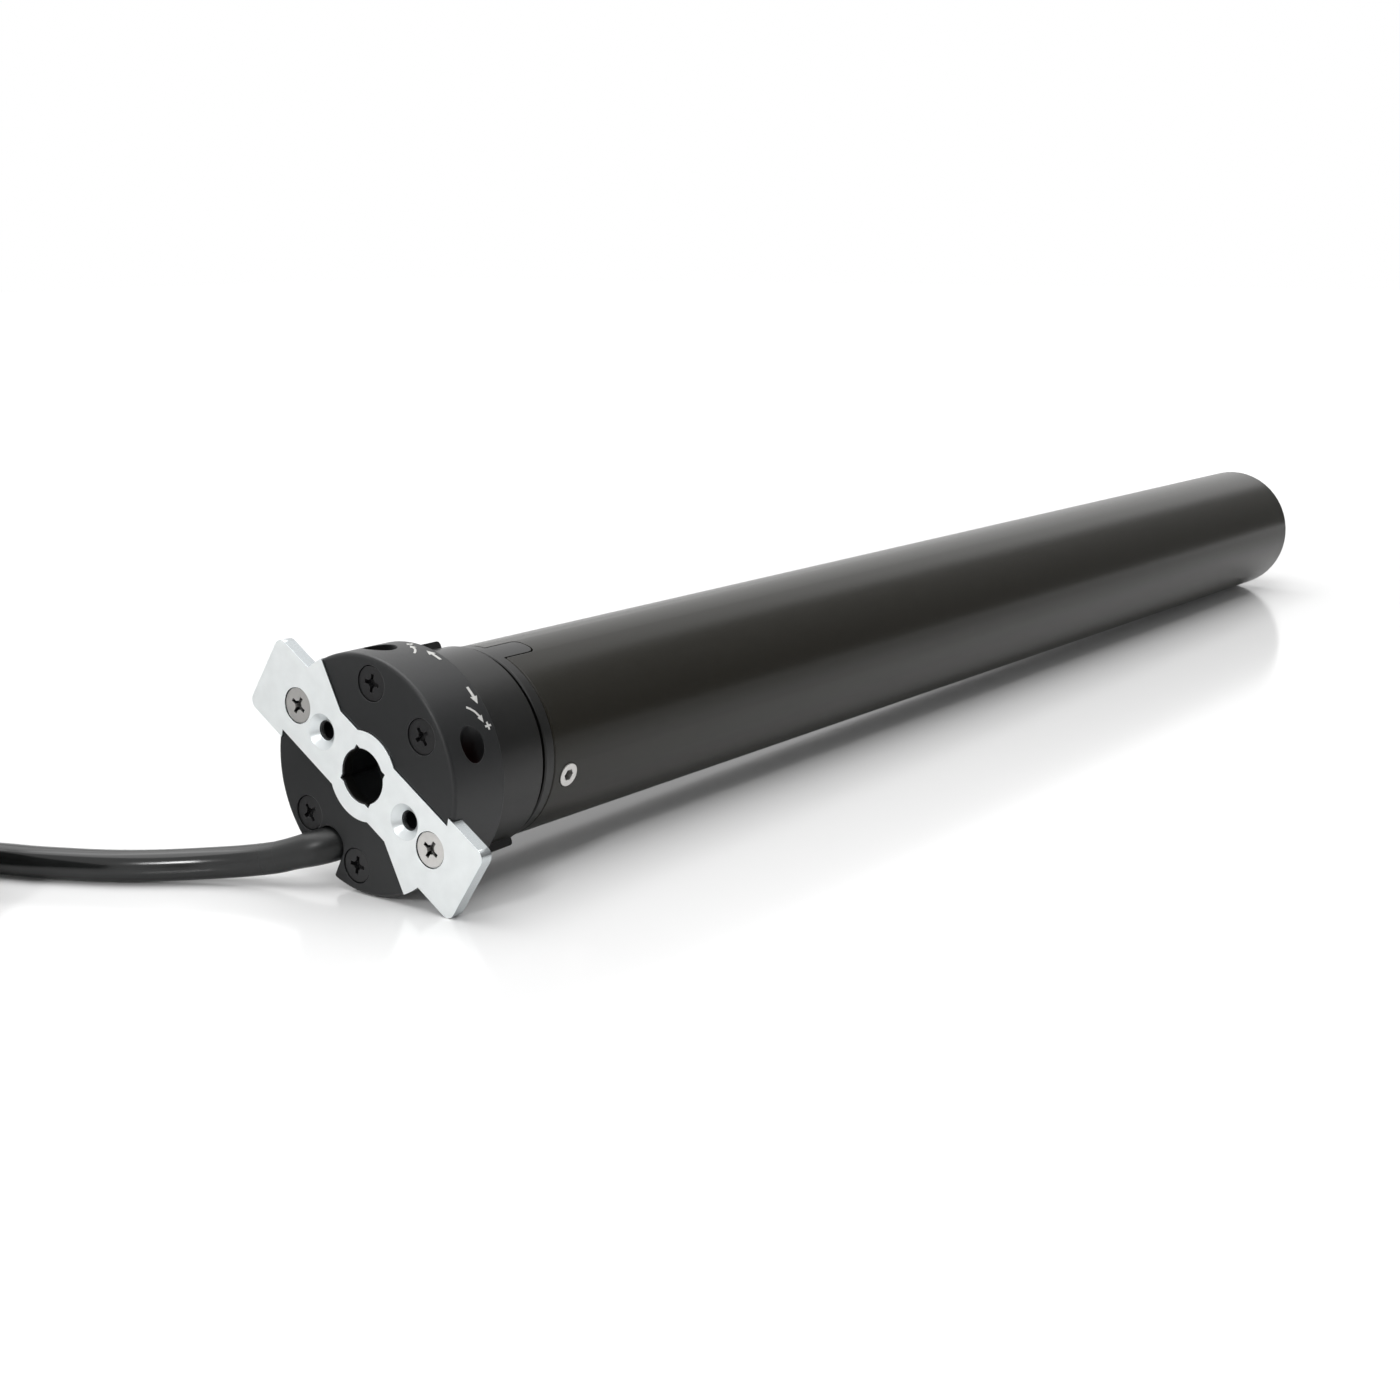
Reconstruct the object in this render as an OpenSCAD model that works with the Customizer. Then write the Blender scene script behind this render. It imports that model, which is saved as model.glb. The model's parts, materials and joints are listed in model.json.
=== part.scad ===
// Tubular motor for a roller blind: a round head with a fixing plate and mechanical limit
// switches, a tube that holds the motor, brake and planetary gearbox, and the supply cable.
// The motor axis runs along +X from the middle of the fixing plate's front face. The part
// lies as on a table: on the head's rim, a corner of the plate and the tube's far end.

/* [Head] */
// Diameter of the head
head_d = 54; // [53:0.5:58]
// Length from the plate's front face to the back of the head
head_len = 15.6; // [15:0.2:20]
// How far the head's face lies behind the plate's front face
face_drop = 0.4; // [0.1:0.1:0.8]
// Radius on the front edge of the head
head_edge = 0.8; // [0.4:0.1:1.4]
// Wall of the skirt around the limit frame's flange
skirt_wall = 2.5; // [2:0.1:2.8]
// Diameter of the circle of the four head screws
head_screw_pcd = 42.2; // [41:0.2:43]
// Angle of a head screw from the cable slot's plane
head_screw_angle = 24.2; // [23:0.2:27]
// Diameter of a head screw's countersunk head
head_screw_head_d = 7.6; // [6.6:0.2:8]
// Distance of the cable slot's round end from the axis
slot_reach = 21; // [20:0.2:22]
// Width of the cable slot at its round end
slot_w = 8.5; // [8.3:0.1:9]
// Distance of an adjuster hole from the head's middle plane
adjuster_u = 15.8; // [15.2:0.2:17]
// Distance of the adjuster holes from the plate's front face
adjuster_s = 8; // [7.6:0.1:8.4]
// Diameter of an adjuster hole
adjuster_d = 6.6; // [5.8:0.1:6.8]

/* [Fixing plate] */
// Thickness of the plate
plate_t = 3; // [2.5:0.1:3.5]
// Half the length of the plate
plate_half = 36; // [34:0.5:40]
// Half the width of an ear outside the rim
ear_half = 9.75; // [9:0.25:11]
// Corner radius of an ear
ear_r = 2.2; // [1:0.2:3]
// Half the width of the strap across the face
strap_half = 8; // [7.6:0.2:9]
// Radius of the round middle of the plate
plate_eye_r = 10.2; // [9.6:0.2:11]
// Where a wing starts along the strap
wing_u = 12.4; // [11.4:0.2:13.4]
// Angle of a wing's edge from the strap
wing_angle = 30.4; // [26:0.2:34]
// Radius of the round pin hole
pin_r = 6.25; // [6:0.05:6.4]
// Side of the square pin hole
pin_square = 10; // [9.6:0.1:10.2]
// Distance of a plate screw from the axis
plate_screw_u = 23.5; // [23:0.1:24]
// Diameter of a plate screw's countersunk head
plate_screw_head_d = 7.8; // [7:0.1:8.2]
// Distance of a tapped hole from the axis
tapped_u = 14.7; // [14.2:0.1:15]
// Diameter of a tapped hole
tapped_d = 4.5; // [4:0.1:5]

/* [Limit ring] */
// Diameter of the ring
ring_d = 46.4; // [45.8:0.2:48]
// Length of the ring
ring_len = 16.8; // [16.6:0.1:20]
// Height of a key above the ring
key_h = 1.4; // [0.8:0.1:1.8]
// Width of a key
key_w = 7.6; // [5:0.2:9]
// Length of a key
key_len = 16.1; // [12:0.1:16.5]
// Angle of the keys from the plate
key_angle = 31; // [0:1:180]

/* [Tube] */
// Diameter of the tube and the band in front of it
tube_d = 45; // [44.5:0.25:46]
// Wall of the tube
tube_wall = 1.2; // [1:0.05:1.3]
// Length of the tube
tube_len = 438; // [400:1:500]
// Length of the band between ring and tube
band_len = 3; // [2.4:0.1:4]
// Width of the tongue that locates the tube
tongue_w = 6; // [5:0.2:8]
// Length of the tongue
tongue_len = 10; // [8:0.2:12]
// Angle of the tongue from the plate
tongue_angle = 70; // [60:1:80]
// Distance of the tube screws from the tube's front end
tube_screw_s = 5; // [4.6:0.1:6]
// Diameter of a tube screw's head
tube_screw_d = 5.5; // [5:0.1:6]

/* [Motor] */
// Diameter of the capacitor
capacitor_d = 33; // [30:0.5:34]
// Length of the capacitor
capacitor_len = 72; // [60:1:74]
// Room for the leads between the capacitor and the motor
lead_room = 19.35; // [14:0.05:30]
// Diameter of the rotor
rotor_d = 23.6; // [23:0.1:23.6]
// Diameter of the rotor's shaft
shaft_d = 8; // [7.6:0.1:8.4]
// Outside diameter of a motor bearing
bearing_d = 22; // [20:0.5:24]
// How far the brake disc lifts off its lining
brake_lift = 0.5; // [0.3:0.1:0.6]

/* [Gearbox] */
// Module of the planetary gears
gear_m = 0.65; // [0.64:0.01:0.66]
// Diameter of a planet's pin
planet_pin_d = 4; // [3.6:0.1:4.4]
// Diameter of the output shaft
output_d = 16; // [14:0.5:17]
// How far the output shaft stands out of the tube
output_reach = 19; // [17:0.5:24]
// Side of the square end of the output shaft
output_square = 12.6; // [11:0.2:13]
// Diameter of the tapped hole in the output shaft's end
output_tap_d = 4.2; // [3.4:0.2:5]

/* [Cable] */
// Diameter of the cable
cable_d = 7.2; // [6.8:0.1:7.4]
// Diameter of one core of the cable
core_d = 2.2; // [1.8:0.1:2.4]

/* [Hidden] */
$fn = 64;

// Clearances: running, seated, between bodies, and around the let-in plate
run_gap = 0.1;
seat_gap = 0.1;
body_gap = 0.3;
plate_gap = 0.15;
// Clearance of a shaft in its bearing
shaft_gap = 0.05;

// Gear teeth: pressure angle, slack on each flank, addendum and dedendum in modules
pressure_angle = 25;
tooth_slack = 0.05;
tooth_add = 0.9;
tooth_ded = 1.25;
tooth_steps = 3;

// Head, from the plate's front face backwards
head_r = head_d / 2;
flange_t = 3.4;
cup_floor = head_len - flange_t - seat_gap;
flange_r = head_r - skirt_wall - seat_gap;
socket_floor = 10.8;
head_screw_r = 1.9;
plate_screw_r = 2;
plate_screw_end = 11;
csk_depth = 1.8;
screw_sink = 0.25;
screw_land = 0.5;
screw_ring = 0.22;
tapped_csk_r = 4.1;
tapped_csk_depth = 1.6;
slot_flare = 0.6;
slot_floor = cup_floor - 0.5;
plug_w = -11;
plug_half = 2.5;
adjuster_r = adjuster_d / 2;
adjuster_top = 15;
adjuster_head = 2.6;
adjuster_foot = 4.5;
adjuster_key = 4;
worm_r = 1.25;
worm_wheel_teeth = 16;
worm_wheel_m = 0.5;
worm_wheel_tip = worm_wheel_teeth * worm_wheel_m / 2 + 0.4;
worm_wheel_u = adjuster_u - worm_r - worm_wheel_tip - 0.15;
worm_wheel_w = 8.5;
worm_wheel_t = 3.6;
worm_shaft_r = 1.5;

// Limit ring and the gears that count its turns
count_m = 0.6;
ring_teeth = 66;
pinion_teeth = 16;
wheel_teeth = 28;
ring_r = ring_d / 2;
ring_s0 = head_len + body_gap;
ring_s1 = ring_s0 + ring_len;
ring_pitch_r = ring_teeth * count_m / 2;
ring_tip_r = ring_pitch_r - tooth_add * count_m;
ring_bore_r = ring_pitch_r + tooth_ded * count_m + 0.35;
ring_gear_s1 = ring_s0 + 11.3;
ring_edge = 0.4;
pinion_r = pinion_teeth * count_m / 2;
pinion_at = [0, ring_pitch_r - pinion_r];
pinion_shaft_r = 1;
wheel_r = wheel_teeth * count_m / 2;
wheel_u = -6;
wheel_at = [wheel_u, pinion_at[1] - sqrt(pow(pinion_r + wheel_r, 2) - wheel_u * wheel_u)];
wheel_t = 4.4;
wheel_gear_t = 2.8;
wheel_s = [ring_s0 + 0.6, ring_s0 + 0.6 + wheel_t + body_gap];
cam_r = 7.2;
lever_t = wheel_t - wheel_gear_t - 0.3;
axle_r = 1.5;
boss_r = ring_tip_r - 0.45;
boss_bore = boss_r - 2.4;
boss_s1 = ring_s0 + 30;
cover_s0 = ring_gear_s1 + 0.5;
cover_t = 2;
switch_size = [6.4, 12.8, 5.2];
switch_at = [6, -3.6];
switch_wall = [9, 18.5];
switch_wall_w = -9;
switch_s = [ring_s0 + 0.3, ring_s0 + 0.3 + switch_size[2] + body_gap];

// Tube and what closes its front end
tube_r = tube_d / 2;
tube_bore = tube_r - tube_wall;
liner_r = tube_bore - seat_gap;
ring_groove = 1.5;
tube_edge = 0.3;
tongue_gap = 0.35;
band_s0 = ring_s1 + ring_groove;
band_s1 = band_s0 + band_len;
tube_s0 = band_s1 + seat_gap;
tube_s1 = tube_s0 + tube_len;
plug_s0 = ring_gear_s1 + body_gap;
plug_s1 = tube_s0 + 24.7;
plug_bore = boss_r + seat_gap;
journal_r = ring_bore_r - run_gap;
tube_screw_shank = 1.7;
tube_screw_hex = 2.9;
tube_screw_socket = 2.2;
tube_screw_end = boss_bore + 0.3;

// Far end: cover, gearbox, brake and motor, counted back from the tube's end
cover_drop = 0.8;
cover_len = 50;
cap_s1 = tube_s1 - cover_drop;
cap_s0 = cap_s1 - cover_len;
sun_teeth = 12;
planet_teeth = 21;
annulus_teeth = sun_teeth + 2 * planet_teeth;
planets = 3;
planet_w = [14, 20, 28];
carrier_t = [6, 8, 10];
stage_gap = 0.6;
stage_lead = 11;
stage_s = [
  stage_lead,
  stage_lead + planet_w[0] + carrier_t[0] + 2 * stage_gap,
  stage_lead + planet_w[0] + planet_w[1] + carrier_t[0] + carrier_t[1] + 4 * stage_gap
];
gear_len = stage_s[2] + planet_w[2] + carrier_t[2] + 2 * stage_gap;
gear_s1 = cap_s0 - seat_gap;
gear_s0 = gear_s1 - gear_len;
annulus_r = annulus_teeth * gear_m / 2;
planet_orbit = (sun_teeth + planet_teeth) * gear_m / 2;
carrier_r = annulus_r - tooth_add * gear_m - 1.5;
brake_plate_t = 5;
brake_plate_s0 = gear_s0 - seat_gap - brake_plate_t;
lining_t = 2;
lining_s0 = brake_plate_s0 - shaft_gap - lining_t;
brake_disc_t = 7;
brake_disc_s0 = lining_s0 - run_gap - brake_disc_t;
brake_r = liner_r - 2.5;
lining_in_r = 11;
spring_len = 9;
spring_r = 7;
spring_wire = 0.9;
spring_turns = 4;
spring_s1 = brake_disc_s0 - brake_lift - run_gap;
spring_s0 = spring_s1 - spring_len;
spring_seat_t = 1.5;
spring_seat_s0 = spring_s0 - seat_gap - spring_seat_t;
shield_t = 8;
shield_lip = 0.8;
bearing_w = shield_t - shield_lip - seat_gap;
front_shield_s1 = spring_seat_s0 - 1;
front_shield_s0 = front_shield_s1 - shield_t;
winding_out = 12;
winding_room = 16;
stator_s1 = front_shield_s0 - winding_room;
// The stator's stack takes the room that the tube leaves behind the capacitor
capacitor_s0 = plug_s1 + 6;
rear_shield_s0 = capacitor_s0 + capacitor_len + lead_room;
rear_shield_s1 = rear_shield_s0 + shield_t;
stator_s0 = rear_shield_s1 + winding_room;
stator_len = stator_s1 - stator_s0;
shaft_r = shaft_d / 2;
shaft_s0 = rear_shield_s0 + shield_lip;
rotor_r = rotor_d / 2;
air_gap = body_gap;
slots = 12;
slot_in_r = rotor_r + air_gap + 1.5;
slot_out_r = liner_r - 2.6;
slot_half = 1.7;
slot_mouth = 0.7;
slot_liner = 0.6;
capacitor_r = capacitor_d / 2;
pad_len = 8;
capacitor_edge = 2;
tab = [0.8, 6, 6];
tab_u = 5;
lead_r = 0.8;
lead_w = tube_bore - 1.7;
lead_half = 4.3;
lead_s0 = plug_s1 + seat_gap;
lead_s1 = stator_s0 - winding_out + 0.8;

// Output shaft
output_r = output_d / 2;
bush_t = 3;
bush_len = 15;
bush_flange = 1.2;
clip_s0 = cap_s1 + bush_flange + body_gap + seat_gap;
clip_t = 1;
clip_groove = 0.8;
output_s1 = tube_s1 + output_reach;
output_tap_len = 14;

// How the part lies: slope of the table along the axis, and the roll onto a plate corner
rest_slope = (head_r - tube_r) / (tube_s1 - head_len);
rest_tilt = atan(rest_slope);
plate_rest = head_r + rest_slope * (head_len - plate_t) - ear_r;
ear_u = plate_half - ear_r;
ear_w = ear_half - ear_r;
lie_roll = asin(plate_rest / norm([ear_u, ear_w])) - atan2(ear_w, ear_u);
function table_z(x) = -head_r + rest_slope * (x - head_len);

// Cable: the bend at the head, the route of the lead, and the coil
cable_r = cable_d / 2;
elbow_r = slot_w / 2 - 0.35;
elbow_s = 0.5;
elbow_len = 7;
elbow_dir = [-0.45, 0.87, -0.28] / norm([-0.45, 0.87, -0.28]);
elbow_corner = placed([0, -slot_reach, elbow_s]);
elbow_end = elbow_corner + elbow_len * elbow_dir;
elbow_bend_r = 8;
elbow_lap = 0.4;
elbow_seat = 0.2;
elbow_turn = acos(-elbow_dir[0]);
elbow_lean = atan2(elbow_dir[2], elbow_dir[1]);
elbow_back = elbow_bend_r * tan(elbow_turn / 2);
elbow_start = elbow_corner + (elbow_back - elbow_lap) * elbow_dir;
lead_points = [
  [-9, 30, -22.4], [-13.5, 37, -23.1], [-18.8, 44, -23.5], [-23.8, 51, -23.7],
  [-27.6, 57.5, -23.8], [-30.8, 63.6, -23.8], [-34.2, 70.6, -23.8], [-36.8, 77.4, -23.8],
  [-40.3, 85.2, -23.8], [-44.8, 94, -23.6]
];
coil_at = [-93, 91];
coil_start = 28;
coil_inner = 36.4;
coil_outer = 43.6;
coil_layers = 3;
tie_t = 0.8;
tie_w = 5;
tie_angle = 40;
function coil_entry(back) =
  let (x = coil_at[0] + coil_outer * cos(coil_start) + back * sin(coil_start))
  [
    x,
    coil_at[1] + coil_outer * sin(coil_start) - back * cos(coil_start),
    table_z(x) + tie_t + cable_r
  ];
lead_route = concat(
  [elbow_end + 0.02 * elbow_dir, elbow_end + 6 * elbow_dir],
  lead_points,
  [coil_entry(9), coil_entry(shaft_gap)]
);
coil_mid = (coil_inner + coil_outer) / 2;
coil_half = (coil_outer - coil_inner) / 2 + cable_r;
coil_h = coil_layers * cable_d;
coil_top = tie_t + coil_h;
tail_turn = [100, 236];
core_turn = 52;
core_stub = 3;
core_strip = 7;
core_apart = 0.5;
ferrule_turn = 12;

// Section frame: u along the plate, w away from the cable, s along the motor axis
module lay() {
  rotate([lie_roll, 0, 0]) rotate([90, 0, 90]) children();
}

function placed(p) = [
  p[2],
  p[0] * cos(lie_roll) - p[1] * sin(lie_roll),
  p[0] * sin(lie_roll) + p[1] * cos(lie_roll)
];

module at(s) {
  translate([0, 0, s]) children();
}

module pipe(r_out, r_in, h) {
  difference() {
    cylinder(r = r_out, h = h);
    at(-1) cylinder(r = r_in, h = h + 2);
  }
}

// Cylinder between two points
module rod(a, b, r1, r2) {
  d = b - a;
  translate(a)
    rotate([0, acos(d[2] / norm(d)), atan2(d[1], d[0])])
      cylinder(r1 = r1, r2 = r2, h = norm(d));
}

// Involute gear outline
function involute(a) = tan(a) - a * PI / 180;
function tooth_half(r, z, m, slack) =
  let (rp = z * m / 2, rb = rp * cos(pressure_angle), a = acos(min(1, rb / max(r, rb))))
  90 / z + (involute(pressure_angle) - involute(a) - slack / rp) * 180 / PI;
function polar(r, a) = [r * cos(a), r * sin(a)];
function flank(z, m, root, tip, slack, mid, side) = [
  for (k = [0 : tooth_steps])
    let (j = side < 0 ? k : tooth_steps - k, r = root + (tip - root) * j / tooth_steps)
    polar(r, mid + side * tooth_half(r, z, m, slack))
];
function gear_outline(z, m, root, tip, slack) = [
  for (i = [0 : z - 1], side = [-1, 1])
    each flank(z, m, root, tip, slack, i * 360 / z, side)
];

module outer_gear(z, m, h) {
  r = z * m / 2;
  linear_extrude(h)
    polygon(gear_outline(z, m, r - tooth_ded * m, r + tooth_add * m, tooth_slack));
}

module inner_gear_hole(z, m, h) {
  r = z * m / 2;
  linear_extrude(h)
    polygon(gear_outline(z, m, r - tooth_add * m, r + tooth_ded * m, -tooth_slack));
}

// Tube swept along a list of points
function unit(v) = v / norm(v);
function heading(p, i) = unit(p[min(i + 1, len(p) - 1)] - p[max(i - 1, 0)]);
function hoop(p, i, r, n) =
  let (t = heading(p, i), side = unit(cross([0, 0, 1], t)), up = cross(t, side))
  [for (k = [0 : n - 1]) p[i] + r * (cos(k * 360 / n) * side + sin(k * 360 / n) * up)];

module sweep(p, r, n) {
  last = len(p) - 1;
  skin = [
    for (i = [0 : last - 1], k = [0 : n - 1])
      let (a = i * n + k, b = i * n + (k + 1) % n)
      each [[a, a + n, b], [b, a + n, b + n]]
  ];
  caps = [[for (k = [0 : n - 1]) k], [for (k = [n - 1 : -1 : 0]) last * n + k]];
  polyhedron([for (i = [0 : last]) each hoop(p, i, r, n)], concat(skin, caps));
}

// Countersunk screw along +s with a cross recess in its head
module cross_screw(head_r, shank_r, len) {
  difference() {
    union() {
      cylinder(r = head_r, h = screw_land);
      at(screw_land) cylinder(r1 = head_r, r2 = shank_r, h = csk_depth - screw_land);
      cylinder(r = shank_r, h = len);
    }
    for (t = [0, 90])
      rotate(t) translate([-0.55 * head_r, -0.45, -1]) cube([1.1 * head_r, 0.9, 2.2]);
    at(-1) cylinder(r = 0.28 * head_r, h = 2.5);
  }
}

// Hole for such a screw, with an open ring around its head, which lies a little below the face
module screw_seat(head_r, shank_r, len) {
  cone_s = screw_sink + screw_land;
  at(-1) cylinder(r = head_r + screw_ring, h = 1 + cone_s);
  at(cone_s)
    cylinder(r1 = head_r + seat_gap, r2 = shank_r + seat_gap, h = csk_depth - screw_land);
  cylinder(r = shank_r + seat_gap, h = len);
}

// Countersunk hole along +s, its cone carried a little past the face
module countersink(head_r, hole_r, depth, len) {
  past = 0.5;
  at(-past)
    cylinder(r1 = head_r + past * (head_r - hole_r) / depth, r2 = hole_r, h = depth + past);
  cylinder(r = hole_r, h = len);
}

module plate_screw_places() {
  for (t = [-1, 1]) translate([t * plate_screw_u, 0, 0]) children();
}

module head_screw_places() {
  for (t = [-1, 1], side = [-90, 90])
    rotate(side + t * head_screw_angle)
      translate([head_screw_pcd / 2, 0, face_drop]) children();
}

// Fixing plate
module ear(g) {
  difference() {
    union() {
      translate([0, -ear_half - g]) square([plate_half - ear_r, 2 * (ear_half + g)]);
      translate([0, ear_r - ear_half]) square([plate_half + g, 2 * (ear_half - ear_r)]);
      for (t = [-1, 1])
        translate([plate_half - ear_r, t * (ear_half - ear_r)]) circle(r = ear_r + g);
    }
    circle(r = head_r - 1.2 - g);
  }
}

module wing(g) {
  rise = tan(wing_angle);
  far = head_r + 2;
  polygon([
    [wing_u - g, 0], [wing_u - g, strap_half + g],
    [far, strap_half + g + (far - wing_u) * rise], [far, 0]
  ]);
}

module plate_outline(g = 0) {
  square([2 * head_r, 2 * (strap_half + g)], center = true);
  circle(r = plate_eye_r + g);
  intersection() {
    circle(r = head_r + 4 * g);
    for (t = [0, 180]) rotate(t) wing(g);
  }
  for (t = [0, 180]) rotate(t) ear(g);
}

module pin_outline(g = 0) {
  circle(r = pin_r + g);
  square(pin_square + 2 * g, center = true);
}

module fixing_plate() {
  color("#dfe2e2") lay() difference() {
    linear_extrude(plate_t) plate_outline();
    at(-1) linear_extrude(plate_t + 2) pin_outline();
    plate_screw_places()
      screw_seat(plate_screw_head_d / 2, plate_screw_r, 9);
    for (t = [-1, 1]) translate([t * tapped_u, 0, 0])
      countersink(tapped_csk_r, tapped_d / 2, tapped_csk_depth, 9);
  }
}

module plate_screws() {
  color("#b9bcbe") lay() plate_screw_places()
    at(screw_sink)
      cross_screw(plate_screw_head_d / 2, plate_screw_r, plate_screw_end - screw_sink);
}

// Head
module cable_slot(g, h) {
  half = slot_w / 2 + g;
  mouth = half + slot_flare;
  linear_extrude(h) union() {
    translate([0, -slot_reach]) circle(r = half);
    polygon([
      [-half, -slot_reach], [half, -slot_reach], [mouth - 0.1, 1.2 - head_r],
      [mouth + 1, -head_r - 0.2], [mouth + 1, -head_r - 2],
      [-mouth - 1, -head_r - 2], [-mouth - 1, -head_r - 0.2], [0.1 - mouth, 1.2 - head_r]
    ]);
  }
}

module adjuster_places() {
  for (t = [-1, 1]) translate([t * adjuster_u, 0, adjuster_s]) rotate([-90, 0, 0]) children();
}

module head_blank() {
  arc = [for (a = [0 : 15 : 90]) [
    head_r - head_edge + head_edge * sin(a), face_drop + head_edge - head_edge * cos(a)
  ]];
  rotate_extrude() polygon(concat([[0, face_drop]], arc, [[head_r, head_len], [0, head_len]]));
}

module head_cup() {
  color("#3d3e3f") difference() {
    lay() difference() {
      head_blank();
      at(cup_floor) cylinder(r = flange_r + seat_gap, h = head_len);
      at(-1) linear_extrude(1 + plate_t + shaft_gap) plate_outline(plate_gap);
      linear_extrude(socket_floor) pin_outline(2 * seat_gap);
      plate_screw_places() cylinder(r = plate_screw_r + seat_gap, h = cup_floor + 1);
      for (t = [-1, 1]) translate([t * tapped_u, 0, 0]) cylinder(r = tapped_d / 2 + 0.4, h = 9);
      head_screw_places()
        screw_seat(head_screw_head_d / 2, head_screw_r, head_len);
      at(-1) cable_slot(0, 1 + slot_floor);
      translate([0.1 - slot_w / 2, -slot_reach, 5.5])
        cube([slot_w - 0.2, slot_reach + plug_w + plug_half + 0.3, head_len]);
      adjuster_places() at(adjuster_foot) cylinder(r = adjuster_r, h = head_r);
      for (t = [-1, 1]) translate([t * worm_wheel_u, worm_wheel_w, 0]) {
        at(adjuster_s - worm_wheel_t / 2 - 0.6) cylinder(r = worm_wheel_tip + body_gap, h = head_len);
        at(4) cylinder(r = worm_shaft_r + run_gap, h = head_len);
      }
    }
    elbow_bend(elbow_r + elbow_seat);
    rod(
      elbow_start, elbow_corner + 4 * elbow_len * elbow_dir,
      elbow_r + elbow_seat + shaft_gap, elbow_r + elbow_seat + shaft_gap);
  }
}

module head_screws() {
  len = head_len - face_drop - screw_sink - 0.4;
  color("#1d1d1e") lay() head_screw_places()
    at(screw_sink) cross_screw(head_screw_head_d / 2, head_screw_r, len);
}

// One adjuster: a hex socket head over a worm
module limit_screw(side) {
  lay() translate([side * adjuster_u, 0, adjuster_s]) rotate([-90, 0, 0]) difference() {
    union() {
      at(adjuster_foot + seat_gap) cylinder(r = worm_r, h = adjuster_top - adjuster_foot - 1);
      at(adjuster_top - adjuster_head) cylinder(r = adjuster_r - run_gap, h = adjuster_head);
    }
    at(adjuster_top - 2) cylinder(d = adjuster_key * 2 / sqrt(3), h = 3, $fn = 6);
  }
}

module limit_screw_up() {
  color("#e8e4d8") limit_screw(1);
}

module limit_screw_down() {
  color("#b8442f") limit_screw(-1);
}

module adjuster_wheel(side) {
  r = worm_wheel_teeth * worm_wheel_m / 2;
  lay() translate([side * worm_wheel_u, worm_wheel_w, 0]) {
    at(adjuster_s - worm_wheel_t / 2) linear_extrude(worm_wheel_t)
      polygon(gear_outline(worm_wheel_teeth, worm_wheel_m, r - 0.6, worm_wheel_tip, tooth_slack));
    at(4.2) cylinder(r = worm_shaft_r, h = head_len - 4.5);
  }
}

module adjuster_wheel_up() {
  color("#e8e4d8") adjuster_wheel(1);
}

module adjuster_wheel_down() {
  color("#b8442f") adjuster_wheel(-1);
}

// Limit switch
module limit_frame() {
  color("#5a5d60") lay() difference() {
    union() {
      at(head_len - flange_t) cylinder(r = flange_r, h = flange_t);
      at(head_len - 1) pipe(boss_r, boss_bore, boss_s1 - head_len + 1);
      intersection() {
        at(head_len - 1) cylinder(r = boss_bore + 1, h = cover_s0 - head_len);
        translate([switch_at[0] + switch_size[0] + seat_gap, switch_wall_w, 0])
          cube([switch_wall[0], switch_wall[1], cover_s0]);
      }
    }
    head_screw_places() cylinder(r = head_screw_r + shaft_gap, h = head_len + 1);
    translate([-plug_half * 1.7, plug_w - plug_half - 0.2, 0])
      cube([plug_half * 3.4, plug_half * 2 + 0.4, head_len + 1]);
    translate(pinion_at) {
      at(head_len - 2.4) cylinder(r = pinion_shaft_r + shaft_gap, h = 3);
      at(head_len) cylinder(r = pinion_r + tooth_add * count_m + 0.4, h = cover_s0 - head_len);
    }
    translate(wheel_at) at(head_len - 2.4) cylinder(r = axle_r + shaft_gap, h = 3);
    for (t = [-1, 1]) translate([t * worm_wheel_u, worm_wheel_w, 0])
      cylinder(r = worm_shaft_r + run_gap, h = head_len + 1);
    tube_screw_places() cylinder(r = tube_screw_shank + seat_gap, h = tube_r);
  }
}

module limit_ring() {
  chamfered = [
    [0, ring_s0], [ring_r - ring_edge, ring_s0], [ring_r, ring_s0 + ring_edge],
    [ring_r, ring_s1 - ring_edge], [ring_r - ring_edge, ring_s1], [0, ring_s1]
  ];
  top = ring_r + key_h;
  key = [
    [ring_r - 1, ring_s0], [top, ring_s0], [top, ring_s0 + key_len - 0.8],
    [top - 0.25, ring_s0 + key_len - 0.25], [top - 0.8, ring_s0 + key_len],
    [ring_r - 1, ring_s0 + key_len]
  ];
  color("#2c2c2c") lay() difference() {
    union() {
      rotate_extrude() polygon(chamfered);
      for (t = [0, 180]) rotate(key_angle + t) rotate([90, 0, 0])
        linear_extrude(key_w, center = true) polygon(key);
    }
    at(ring_s0 - 1) rotate(90) inner_gear_hole(ring_teeth, count_m, ring_gear_s1 - ring_s0 + 1);
    at(ring_gear_s1 - 0.01) cylinder(r = ring_bore_r, h = ring_len);
  }
}

module limit_pinion() {
  color("#d8d3c4") lay() translate(pinion_at) {
    at(head_len - 2.2) cylinder(r = pinion_shaft_r, h = cover_s0 + cover_t - head_len + 2);
    at(ring_s0 + 0.4) rotate(90)
      outer_gear(pinion_teeth, count_m, ring_gear_s1 - ring_s0 - 0.6);
  }
}

module counter_wheel(s) {
  mesh = atan2(wheel_at[1] - pinion_at[1], wheel_at[0] - pinion_at[0]);
  turn = mesh + 180 + ((mesh - 90) * pinion_teeth - 180) / wheel_teeth;
  lay() translate(wheel_at) at(s) difference() {
    union() {
      rotate(turn) outer_gear(wheel_teeth, count_m, wheel_gear_t);
      difference() {
        cylinder(r = cam_r, h = wheel_t);
        translate([cam_r, 0, wheel_gear_t]) rotate(45) cube([2.4, 2.4, 9], center = true);
      }
    }
    at(-1) cylinder(r = axle_r + run_gap, h = wheel_t + 2);
  }
}

module counter_wheel_up() {
  color("#e8e4d8") counter_wheel(wheel_s[0]);
}

module counter_wheel_down() {
  color("#b8442f") counter_wheel(wheel_s[1]);
}

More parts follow.
